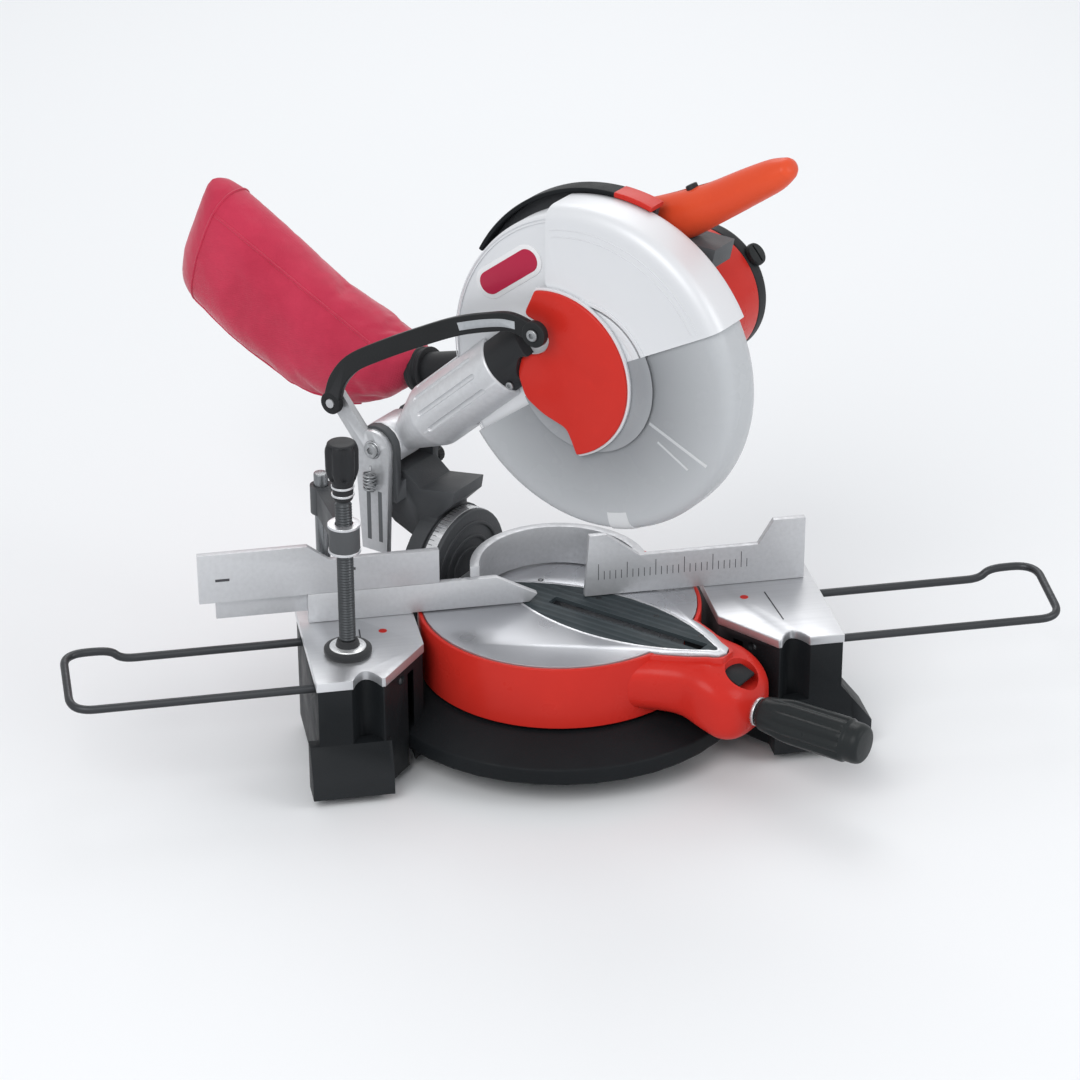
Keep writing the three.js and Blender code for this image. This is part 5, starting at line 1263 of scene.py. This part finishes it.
cover_edge = [
    (COVER_AHEAD + (x - COVER_AHEAD) * EDGE_GROWTH, COVER_HEIGHT + (y - COVER_HEIGHT) * EDGE_GROWTH)
    for x, y in cover_outline()
]
edge_plate = drawn_outline("cover_pale_edge", cover_edge, COVER_BACK - 0.1, COVER_BACK + 3.2, SAW, 0.9)
settle(edge_plate, silver, "head", [])

# Lower guard: a smoky see-through shell that turns about the arbor and swings up under the hood.
# Stiffening ribs are moulded on its left face. Its colour is painted dark about the arbor as shade and pale
# toward the rim as a highlight.
GUARD_RADIUS, GUARD_HALF, GUARD_EYE, GUARD_FROM, GUARD_TO = 138.5, 22, 62, -143.5, 33
HUB_FROM = -150
TIP_INNER, TIP_OUTER, TIP_FACE, TIP_BACK = 121, 139.4, 22.1, -20


def smoky(name, inner, outer, alpha):
    """See-through smoky plastic with one constant alpha, painted dark about the arbor as painted shade and
    paler toward the rim as a painted highlight.
    """
    made = Finish(name, inner, 0.25)
    place = made.place
    away = (("SUBTRACT", arbor_place.translation), ("CROSS_PRODUCT", (-SLANT, -SLANT, 0)), ("LENGTH", None))
    for operation, other in away:
        step = made.tree.nodes.new("ShaderNodeVectorMath")
        step.operation = operation
        made.link(place, step.inputs[0])
        if other:
            step.inputs[1].default_value = other
        place = step.outputs["Value" if operation == "LENGTH" else "Vector"]
    # Painted shade and highlight: the colour runs from dark about the arbor to pale toward the rim.
    made.sprinkle(made.remap(place, 0.06, 0.142, 0, 1), outer)
    made.sprinkle(made.remap(made.cloud(7, 2), 0.35, 0.7, 0, 0.3), [c * 0.9 for c in outer])
    made.raised(made.cloud(300, 2), 0.0002, 0.06)
    made.patchy(made.cloud(20), 0.05)
    return made.done(Alpha=alpha, Coat_Weight=0.2, Coat_Roughness=0.2)


guard_smoke = smoky("smoky_guard", (0.24, 0.25, 0.265), (0.62, 0.64, 0.66), 0.8)
guard_profile = shell_profile(GUARD_RADIUS, GUARD_HALF, SHELL_WALL, SHELL_ROUND, GUARD_EYE)
guard = turned("lower_guard_shell", guard_profile, arbor_place,
               start=GUARD_FROM, sweep=GUARD_TO - GUARD_FROM, steps=150)
settle(guard, guard_smoke, "lower_guard", ["lower_guard"])
guard_pale = smoky("smoky_guard_ridges", (0.5, 0.52, 0.54), (0.8, 0.81, 0.82), 0.85)
for angle, inner, outer, width in ((-24, 68, 128, 1.4), (-31, 82, 116, 1.0)):
    rib_place = arbor_place @ Matrix.Rotation(math.radians(angle), 4, "Z")
    rib_outline = [(inner, -width), (outer, -width), (outer, width), (inner, width)]
    low, high = GUARD_HALF - 0.6, GUARD_HALF + 0.5
    rib = drawn_outline(f"guard_rib_{-angle}", rib_outline, low, high, rib_place, 0.4)
    settle(rib, guard_pale, "lower_guard", [])
# The opaque hub plate carries the same painted shade and highlight gradient.
hub_grey = smoky("hub_plate_grey", (0.25, 0.26, 0.275), (0.62, 0.64, 0.66), 1.0)
hub_plate = hoop("guard_hub_plate", 44, 66.4, 24.2, 24.86, 0.2, arbor_place,
                 start=HUB_FROM, sweep=HOOD_FROM - HUB_FROM, steps=130)
settle(hub_plate, hub_grey, "head", [])
tip_square = [(100, TIP_FACE), (TIP_OUTER, TIP_FACE), (TIP_OUTER, TIP_BACK), (100, TIP_BACK)]
tip_profile = [(max(radius, TIP_INNER), along) for radius, along in ease(tip_square, 13.5, steps=6)]
tip_block = turned("guard_tip_block", tip_profile, arbor_place, start=-79.5, sweep=9, steps=14)
settle(tip_block, guard_pale, "lower_guard", [])

# Gear housing: the dark casting on the right, with an arched shield behind the case,
# the gear and motor seats, and the yoke that carries the handle.
dress("gear_housing", "gear_housing_cast", 1.2, dark_casting, "head", angle=30)
arch = hoop("housing_arch", 142.6, 146.6, -31, -13, 1.5, arbor_place, start=88, sweep=64, steps=90)
settle(arch, black_coat, "head", [])
root_band = hoop("handle_root_band", 142.4, 147, -31.5, -12.8, 1.5, arbor_place,
                 start=74.4, sweep=14, steps=30)
settle(root_band, cover_red, "head", [])
lock = rod("shaft_lock_button", 4.5, -69, -58, saw_point(34, 308, 0), 40, soft=1)
settle(lock, knob_plastic, "shaft_lock", ["shaft_lock"])

# Motor: a red moulded housing with a ring of air slots, a dark end cap with slots in its face,
# two screwed brush caps and a ribbed gland low at the back. The wound rotor shows through the slots.
MOTOR, MOTOR_RADIUS, MOTOR_FACE, MOTOR_END, CAP_END = (57, 367), 58, 60.3, 126, 150
BRUSH_ANGLES, BRUSH_DEPTH = (40, 220), -138
motor_place = saw_point(*MOTOR, 0)


def beside_the_motor(angle, along):
    """A place whose own Z points straight out of the motor's side at this angle."""
    return saw_point(*MOTOR, along) @ Matrix.Rotation(math.radians(angle - 90), 4, "Z") @ TURNED_UP


def ring_of_bars(name, count, radius, start, step, length, width, deep, place, along):
    """A ring of cutting bars in millimetres, its middle at along on the place's axis."""
    bars = baked(name, blank_piece(), ticks, Count=count, Radius=radius * MM, From=math.radians(start),
                 Step=math.radians(step), Length=length * MM, Width=width * MM, Proud=deep * MM)
    return moved(bars, metres(place) @ Matrix.Translation((0, 0, along * MM)))


motor = turned("motor_housing_moulded", ease([
    (MOTOR_RADIUS - 4, -MOTOR_END), (MOTOR_RADIUS, -MOTOR_END), (MOTOR_RADIUS, -88), (MOTOR_RADIUS - 1, -86),
    (MOTOR_RADIUS - 1, -MOTOR_FACE), (MOTOR_RADIUS - 4, -MOTOR_FACE),
], 1, True), motor_place, steps=144)
motor = carved(motor, ring_of_bars("motor_slots", 14, 57, -168, 10.5, 14, 3.2, 12, motor_place, -73))
settle(motor, cover_red, "head", ["motor_housing"])
end_cap = turned("motor_end_cap_moulded", ease([
    (0, -CAP_END), (46, -CAP_END), (MOTOR_RADIUS, -138), (MOTOR_RADIUS, -126.3), (MOTOR_RADIUS - 4, -126.3),
    (MOTOR_RADIUS - 4, -137), (42, -146), (6.4, -146), (6.4, -144), (0, -144),
], 2.4), motor_place, steps=144)
end_cap = carved(
    end_cap, ring_of_bars("cap_slots", 20, 30, 0, 18, 16, 3, 20, motor_place, -CAP_END),
    *[rod("brush_bore", 7.4, 30, 80, beside_the_motor(angle, BRUSH_DEPTH), 40) for angle in BRUSH_ANGLES],
)
settle(end_cap, knob_plastic, "head", ["motor_end_cap"])
hub_profile = ease([(0, -CAP_END - 1), (12, -CAP_END - 1), (13, -CAP_END + 1), (0, -CAP_END + 1)], 0.6)
hub_disc = turned("cap_hub", hub_profile, motor_place, steps=64)
settle(hub_disc, knob_plastic, "head", [])
for angle, name in zip(BRUSH_ANGLES, ("front_brush_cap", "rear_brush_cap")):
    place = beside_the_motor(angle, BRUSH_DEPTH)
    cap = turned(f"{name}_screw", ease([(0, 50), (7, 50), (7, 59), (10, 59), (9.4, 62.6), (0, 63)], 0.7),
                 place, steps=56)
    coin_outline = [(-7.5, -0.9), (7.5, -0.9), (7.5, 0.9), (-7.5, 0.9)]
    coin_slot = drawn_outline("coin_slot", coin_outline, 61.2, 66, place)
    settle(carved(cap, coin_slot), grip_black, "head", [name])

gland_place = beside_the_motor(285, -114)
gland_profile = [(0, 50), (9, 50), (9, 61)]
for ridge in range(4):
    thinner, further = ridge * 0.6, ridge * 3.4
    gland_profile += [(8.2 - thinner, 62 + further), (8.6 - thinner, 62.6 + further),
                      (8.4 - thinner, 64.2 + further), (7.2 - thinner, 64.8 + further)]
gland_profile += [(6, 75.8), (0, 75.8)]
gland = turned("cord_gland_ribbed", ease(gland_profile, 0.4), gland_place, steps=48)
gland = carved(gland, rod("housing_room", MOTOR_RADIUS + FIT, -160, -60, motor_place, 144),
               rod("cord_hole", 3.6, 66, 90, gland_place, 32))
settle(gland, foot_rubber, "head", ["cord_gland"])

copper = metal("rotor_windings", (0.42, 0.16, 0.06), 0.4, (500, 60, 500), 0.8)
core_profile = ease([(6, -120), (30, -120), (38, -112), (38, -84), (30, -78), (6, -78)], 1.5, True)
core = turned("rotor_core", core_profile, motor_place, steps=144, shape=scalloped(12, 2.5, -111, -85))
settle(core, copper, "armature", ["armature"])
rotor_profile = ease([(0, -147.4), (6, -147.4), (6, -48), (7.2, -48), (7.2, -32), (0, -32)], 0.6)
rotor_shaft = turned("rotor_shaft", rotor_profile, motor_place, steps=48)
settle(rotor_shaft, shaft_steel, "armature", [])
fan_profile = ease([(5, -74), (48, -74), (48, -72), (5, -70)], 0.5, True)
fan_plate = turned("rotor_fan", fan_profile, motor_place, steps=96)
settle(fan_plate, knob_plastic, "armature", [])
blades = baked("rotor_fan_blades", blank_piece(), ticks, Count=16, Radius=0.036, From=0.0,
               Step=math.radians(22.5), Length=0.006, Width=0.0016, Proud=0.022)
moved(blades, metres(motor_place) @ Matrix.Translation((0, 0, -0.0685)))
settle(blades, knob_plastic, "armature", [])

# Spindle, bearing, flange and bolt: plain turned steel on the arbor's axis.
# The zinc plated bolt that the turntable turns on is made here too.
for node, width in (("spindle", 0.4), ("outer_flange", 0.8), ("arbor_bolt", 0.8), ("spindle_bearing", 0.6)):
    body = "head" if node == "spindle_bearing" else "blade"
    dress(node, f"{node}_turned", width, shaft_steel, body)
dress("pivot_bolt", "pivot_bolt_turned", 0.8, bolt_steel, "base")

# Blade: a ground steel disc with forty gullets, four narrow expansion slots and brazed tips.
# Its faces carry the fine rings of the grinder.
BLADE_TEETH, BLADE_HALF = 40, 1.0
TOOTH = (
    (0, 126.9), (0.04, 123), (0.12, 119.5), (0.25, 118.5), (0.38, 119.5), (0.48, 122), (0.75, 125.4),
    (0.97, 126.6),
)


def blade_outline():
    """The blade's edge: each tooth's points at a share of the pitch, from tip to gullet to tip."""
    points = []
    pitch = 360 / BLADE_TEETH
    for tooth in range(BLADE_TEETH):
        for share, radius in TOOTH:
            angle = math.radians(pitch * (tooth - share))
            points.append((radius * math.cos(angle), radius * math.sin(angle)))
    return points


blade_middle = tuple(arbor_place.translation)
disc_steel = ringed("ground_blade", (0.50, 0.51, 0.525), 260, blade_middle, 0.28, 0.9)
disc = drawn_outline("blade_disc", list(reversed(blade_outline())), -BLADE_HALF, BLADE_HALF, arbor_place)
disc = carved(disc, rod("bore", 12.3, -5, 5, arbor_place, 64),
              ring_of_bars("expansion_slots", 4, 112, 20, 90, 8, 0.8, 12, arbor_place, 0))
settle(disc, disc_steel, "blade", ["blade"])
tips = baked("blade_tips", blank_piece(), ticks, Count=BLADE_TEETH, Radius=0.1252, From=math.radians(0.6),
             Step=math.radians(9), Length=0.0028, Width=0.0018, Proud=0.0046)
moved(tips, metres(arbor_place))
settle(tips, bright_ring, "blade", [])

# Handle: two orange moulded shells screwed together along their length, with a black trigger
# underneath and a lock-off button on top.
HANDLE_SPLIT, HANDLE_PITCH, HANDLE_WALL, HANDLE_SIDES = 55, 33, 3, 56
TRIGGER_SLOT = ((83.7, 458.7), (140.3, 484.7), (131.4, 496.1), (78.6, 472.1))
TRIGGER_HALF, YOKE_MIDDLE, YOKE_HALF, YOKE_FIT = 7.1, -57, 15.35, 0.35
HANDLE_STATIONS = (
    (40, 452, 14, 15), (56, 452, 20, 18), (82, 463, 20, 18), (112, 480, 17, 17), (146, 502, 15, 16),
    (168, 516, 13, 15), (180, 524, 9, 11),
)
BUTTON, BUTTON_TURN = (92, 488), 30


def handle_body(name, inset):
    pitch = math.radians(HANDLE_PITCH)
    rings = []
    rows = smooth_through(HANDLE_STATIONS, 6)
    for at, (s, z, tall, wide) in enumerate(rows):
        pull = inset * {0: 1, len(rows) - 1: -1}.get(at, 0)
        ring = []
        for side in range(HANDLE_SIDES):
            turn = 2 * math.pi * side / HANDLE_SIDES
            rise = (tall - inset) * math.sin(turn)
            ring.append((s + pull - rise * math.sin(pitch), z + pull / 2 + rise * math.cos(pitch),
                         -HANDLE_SPLIT + (wide - inset) * math.cos(turn)))
        rings.append(ring)
    middle = Vector((0, 0, 0))
    for point in rings[-1]:
        middle += Vector(point) / len(rings[-1])
    if not inset:
        crown = [Vector(p).lerp(middle, 0.22) + Vector((2.2, 1.6, 0)) for p in rings[-1]]
        top = [Vector(p).lerp(middle, 0.6) + Vector((3.4, 2.4, 0)) for p in rings[-1]]
        rings += [crown, top]
    return lofted(name, rings, SAW)


YOKE = ((18, 424), (26, 446), (64, 448), (122, 446), (118, 428), (86, 405))
handle_orange = glossy_plastic("handle_orange", (0.73, 0.085, 0.030), (0.62, 0.045, 0.02), 0.36)
button_turn = Matrix.Rotation(math.radians(BUTTON_TURN), 4, "Z")
button_place = saw_point(*BUTTON, -HANDLE_SPLIT) @ button_turn @ TURNED_UP
yoke_outline = [(s + YOKE_FIT * (1 if s > 64 else -1), h + YOKE_FIT) for s, h in YOKE]
for side, hand in ((1, "left"), (-1, "right")):
    shell = handle_body(f"{hand}_handle_shell", 0)
    near = -HANDLE_SPLIT + side * 0.15
    far = -HANDLE_SPLIT - side * 80
    split = box_room("split", -50, 300, 350, 650, min(near, far), max(near, far))
    yoke_room = drawn_outline("yoke_room", yoke_outline,
                              YOKE_MIDDLE - YOKE_HALF, YOKE_MIDDLE + YOKE_HALF, SAW)
    trigger_room = drawn_outline("trigger_room", TRIGGER_SLOT, -HANDLE_SPLIT - TRIGGER_HALF,
                                 -HANDLE_SPLIT + TRIGGER_HALF, SAW)
    button_room = rod("button_room", 5.35, -30, 30, button_place, 32)
    shell = carved(shell, handle_body("hollow", HANDLE_WALL), split, yoke_room, trigger_room, button_room)
    settle(shell, handle_orange, "head", [f"{hand}_handle_shell"])
for at, (ahead, high, depth) in enumerate(((62, 456, 17.6), (116, 483, 16.4), (162, 512, 14.6))):
    right_face = saw_point(ahead, high, -HANDLE_SPLIT - depth + 0.8) @ Matrix.Rotation(math.pi, 4, "X")
    cap_screw(f"handle_screw_{at}", right_face, 3.2, 1.2, black_screw, "head", 0.55)

dress("trigger", "trigger_moulded", 1.8, knob_plastic, "trigger")
dress("lock_off_button", "lock_off_button_moulded", 0.8, knob_plastic, "lock_off_button")

# Dust outlet: a black moulded pipe that bends out from the back of the case.
# The beaded collar on its end holds the bag.
NOZZLE_RIGHT, NOZZLE_RADIUS = 48, 16
BAG_AHEAD, BAG_HIGH = -181, 263
nozzle_run = smooth_through([
    (-78, 292, -31.3), (-82, 291, -34), (-102, 285, -48), (-138, 275, -48),
    (BAG_AHEAD + 8, BAG_HIGH + 2, -48),
], 10)
pipe_wire = wire_tree("nozzle_pipe", knob_plastic)
pipe = baked("dust_nozzle_pipe", course("nozzle_course", nozzle_run, SAW), pipe_wire,
             Radius=NOZZLE_RADIUS * MM, Sides=64)
settle(pipe, knob_plastic, "head", ["dust_nozzle"])
collar_turn = Vector((1, 0, 0)).rotation_difference(Vector((12, 3, 0)).normalized()).to_matrix().to_4x4()
collar_place = saw_point(BAG_AHEAD + 4, BAG_HIGH + 2, -NOZZLE_RIGHT) @ collar_turn @ FORWARD
nozzle_collar = turned("nozzle_collar", ease([
    (14, 0), (20, 0), (20, 4), (18.4, 5.4), (18.4, 7.6), (20, 9), (20, 12), (16, 12.6), (14, 12.6),
], 1, True), collar_place, steps=96)
settle(nozzle_collar, knob_plastic, "head", [])

# Dust bag: a crimson woven bag that hangs from the outlet, puffed out by the air in it.
# It is sewn from two sides and an end panel, and the seams stand up as narrow piping.
BAG_PITCH = 160
BAG_STATIONS = (
    (0, -16, 19, 18), (14, -34, 24, 28), (45, -64, 27, 35), (85, -77, 32, 37), (150, -76, 40, 38),
    (215, -70, 51, 34), (238, -64, 52, 22), (246, -56, 48, 8),
)
BAG_SIDES, BAG_INSET, BAG_SQUARE_UP, BAG_SQUARE_ACROSS = 72, 3.5, 0.62, 0.75
BAG_FRAMES, BAG_PRESSURE, BAG_CAP = 20, 3.0, 0.007
SEAM_FROM, SEAM_TO = 30, 224


def bag_point(along, rise, across):
    """A point of the bag on the saw's axes, from its place along, over and across the bag's own line."""
    turn = math.radians(BAG_PITCH)
    ahead = BAG_AHEAD + along * math.cos(turn) + rise * math.sin(turn)
    high = BAG_HIGH + along * math.sin(turn) - rise * math.cos(turn)
    return Vector((ahead, high, -NOZZLE_RIGHT + across))


def bag_rings():
    """The bag's cross sections, drawn in by the room that the pressure and the folds take."""
    rings = []
    for along, low, high, wide in smooth_through(BAG_STATIONS, 8):
        shy = BAG_INSET * min(1, along / 40)
        ring = []
        for side in range(BAG_SIDES):
            turn = 2 * math.pi * side / BAG_SIDES
            rise = (low + high) / 2 + swell(math.sin(turn), (high - low) / 2 - shy, BAG_SQUARE_UP)
            across = swell(math.cos(turn), wide - min(shy, wide / 2), BAG_SQUARE_ACROSS)
            ring.append(bag_point(along, rise, across))
        rings.append(ring)
    return rings


def crumpled(piece, size, depth, seed):
    """Soft folds: the skin is moved along its normals by broad, stretched noise."""
    mesh = piece.data
    away = Vector((seed, seed * 0.7, seed * 0.3))
    mouth = SAW @ bag_point(0, 0, 0)
    moves = []
    for vertex in mesh.vertices:
        spot = vertex.co * size
        spot.z *= 0.55
        ridge = 1 - abs(noise.noise(spot + away)) * 2.2
        fade = min(1, (vertex.co - mouth).length / 0.05)
        moves.append(vertex.normal * (depth * fade * (ridge - 0.45)))
    for vertex, move in zip(mesh.vertices, moves):
        vertex.co += move


def remeshed(piece, size):
    change = piece.modifiers.new("voxels", "REMESH")
    change.mode = "VOXEL"
    change.voxel_size = size
    return applied(piece)


def puffed(piece):
    """A short cloth run with air pressure. No point may move further than the cap."""
    start = [v.co.copy() for v in piece.data.vertices]
    mouth = SAW @ bag_point(0, 3, 0)
    held = piece.vertex_groups.new(name="held")
    held.add([v.index for v in piece.data.vertices if (v.co - mouth).length < 0.034], 1.0, "REPLACE")
    cloth = piece.modifiers.new("cloth", "CLOTH").settings
    cloth.quality = 6
    cloth.mass = 0.25
    cloth.use_pressure = True
    cloth.uniform_pressure_force = BAG_PRESSURE
    cloth.effector_weights.gravity = 0
    cloth.shrink_min = -0.06
    cloth.tension_stiffness = cloth.compression_stiffness = 12
    cloth.bending_stiffness = 0.4
    cloth.vertex_group_mass = "held"
    for frame_number in range(1, BAG_FRAMES + 1):
        scene.frame_set(frame_number)
    seen = piece.evaluated_get(bpy.context.evaluated_depsgraph_get())
    ends = [v.co.copy() for v in seen.data.vertices]
    piece.modifiers.clear()
    for vertex, before, after in zip(piece.data.vertices, start, ends):
        move = after - before
        if move.length > BAG_CAP:
            move *= BAG_CAP / move.length
        vertex.co = before + move
    scene.frame_set(1)
    return piece


def woven_cloth(name, colour, deep):
    """Plain woven nylon: crossed threads about a millimetre apart, soft clouds, a bright sheen."""
    made = Finish(name, colour, 0.62)
    threads = []
    for turn in ((0, 0, 45), (0, 60, 135)):
        wave = made.tree.nodes.new("ShaderNodeTexWave")
        wave.bands_direction = "X"
        wave.inputs["Scale"].default_value = 260
        wave.inputs["Distortion"].default_value = 0.4
        made.link(made.stretched((1, 1, 1), turn), wave.inputs["Vector"])
        threads.append(wave.outputs["Fac"])
    made.sprinkle(made.remap(made.cloud(14, 4), 0.35, 0.7, 0, 0.6), deep)
    made.sprinkle(made.remap(made.cloud(55, 3), 0.5, 0.8, 0, 0.2), [min(1, c * 1.35) for c in colour])
    for thread in threads:
        made.raised(thread, 0.0003, 0.3)
    made.raised(made.cloud(38, 3), 0.004, 0.3)
    made.patchy(made.cloud(45), 0.06)
    return made.done(Sheen_Weight=0.35, Sheen_Roughness=0.4)


crimson = woven_cloth("crimson_bag_cloth", (0.56, 0.040, 0.085), (0.40, 0.018, 0.048))
bag = lofted("dust_bag_cloth", bag_rings(), SAW)
bag = remeshed(bag, 0.005)
crumpled(bag, size=13, depth=0.0028, seed=4.0)
puffed(bag)
finer = bag.modifiers.new("finer", "SUBSURF")
finer.levels = finer.render_levels = 1
bag = applied(bag)
settle(bag, crimson, "head", ["dust_bag"], crease=80)


def skin_point(tree, along, rise, across):
    """The bag's skin met from outside, looking in at its axis."""
    inside = SAW @ bag_point(along, (rise > 0) * 4 - 8, 0)
    outside = SAW @ bag_point(along, rise, across)
    toward = (inside - outside).normalized()
    hit = tree.ray_cast(outside - toward * 0.03, toward, 0.2)[0]
    return hit if hit else outside


skin = BVHTree.FromObject(bag, bpy.context.evaluated_depsgraph_get())
piping_wire = wire_tree("bag_piping", crimson)
end_seam = []
for step in range(96):
    turn = 2 * math.pi * step / 96
    rise, across = swell(math.sin(turn), 64, BAG_SQUARE_UP), swell(math.cos(turn), 34, BAG_SQUARE_ACROSS)
    end_seam.append(skin_point(skin, SEAM_TO, rise - 8, across))
top_seam = [skin_point(skin, along, 20 + along * 0.16, 40) for along in range(SEAM_FROM, SEAM_TO, 4)]
low_seam = [skin_point(skin, along, -82, 26) for along in range(SEAM_FROM + 4, SEAM_TO, 4)]
for name, run, closed in (("end", end_seam, True), ("upper", top_seam, False), ("lower", low_seam, False)):
    piping = baked(f"bag_{name}_seam", course(f"{name}_course", run, Matrix.Identity(4), closed), piping_wire,
                   Radius=0.0013, Sides=10)
    settle(piping, crimson, "head", [])
band_clip = hoop("bag_mouth_band", 17.5, 19.5, -4, 1, 0.8, collar_place, steps=96)
settle(band_clip, knob_plastic, "head", [])

# Guard link: a bent black steel bar from the bracket to the eye beside the centre cover,
# with a long pale recess pressed into its front end and a screw through the eye.
LINK_FACE, LINK_THICK, LINK_HALF, LINK_EYE = 44, 6, 8, (8, 378)
BAR_STEPS = 8
LINK_BENDS = ((-194, 286), (-178, 306), (-150, 324), (-110, 346), (-70, 366), (-36, 378), (-14, 383))


def along_bar(points, half):
    """The outline of a bar of even width along a smooth run of points."""
    run = smooth_through(points, BAR_STEPS)
    upper, lower = [], []
    for at, point in enumerate(run):
        before, after = run[max(at - 1, 0)], run[min(at + 1, len(run) - 1)]
        side = (after - before).normalized()
        upper.append((point.x - side.y * half, point.y + side.x * half))
        lower.append((point.x + side.y * half, point.y - side.x * half))
    return upper + lower[::-1]


link_black = powder_coat("link_black", (0.018, 0.019, 0.02), (0.12, 0.12, 0.13), 700, 0.38)
link_run = [LINK_PIVOT, *LINK_BENDS, LINK_EYE]
link = drawn_outline("guard_link_bar", along_bar(link_run, LINK_HALF),
                     LINK_FACE, LINK_FACE + LINK_THICK, SAW, 1.2, 3)
link = carved(link, rod("link_bore", 4.4, 30, 70, saw_point(*LINK_PIVOT, 0), 32))
settle(link, link_black, "guard_link", ["guard_link"])
eye_profiles = (
    ("front", LINK_EYE, ease([(0, 39), (6, 39), (6, 43.4), (11, 43.8), (11, 50.6), (0, 50.6)], 1.2)),
    ("rear", LINK_PIVOT, ease([(4.4, 44), (10, 44), (10, 50.4), (4.4, 50.4)], 1.2, True)),
)
for name, spot, profile in eye_profiles:
    eye = turned(f"link_{name}_eye", profile, saw_point(*spot, 0), steps=64)
    settle(eye, link_black, "guard_link", [])
recess_run = [(-66, 367.6), (-50, 373.5), (-36, 378), (-22, 381.4), (-10, 382.2)]
recess = drawn_outline("link_recess", along_bar(recess_run, 3.4), LINK_FACE + LINK_THICK - 0.3,
                       LINK_FACE + LINK_THICK + 0.15, SAW, 0.1)
settle(recess, machined("recess_metal", (0.42, 0.44, 0.46), (300, 300, 300), 0.4, 0.5), "guard_link",
       [])
cap_screw("link_eye_screw", saw_point(*LINK_EYE, 50.6), 5, 2.6, bolt_steel, "guard_link", 0.5)
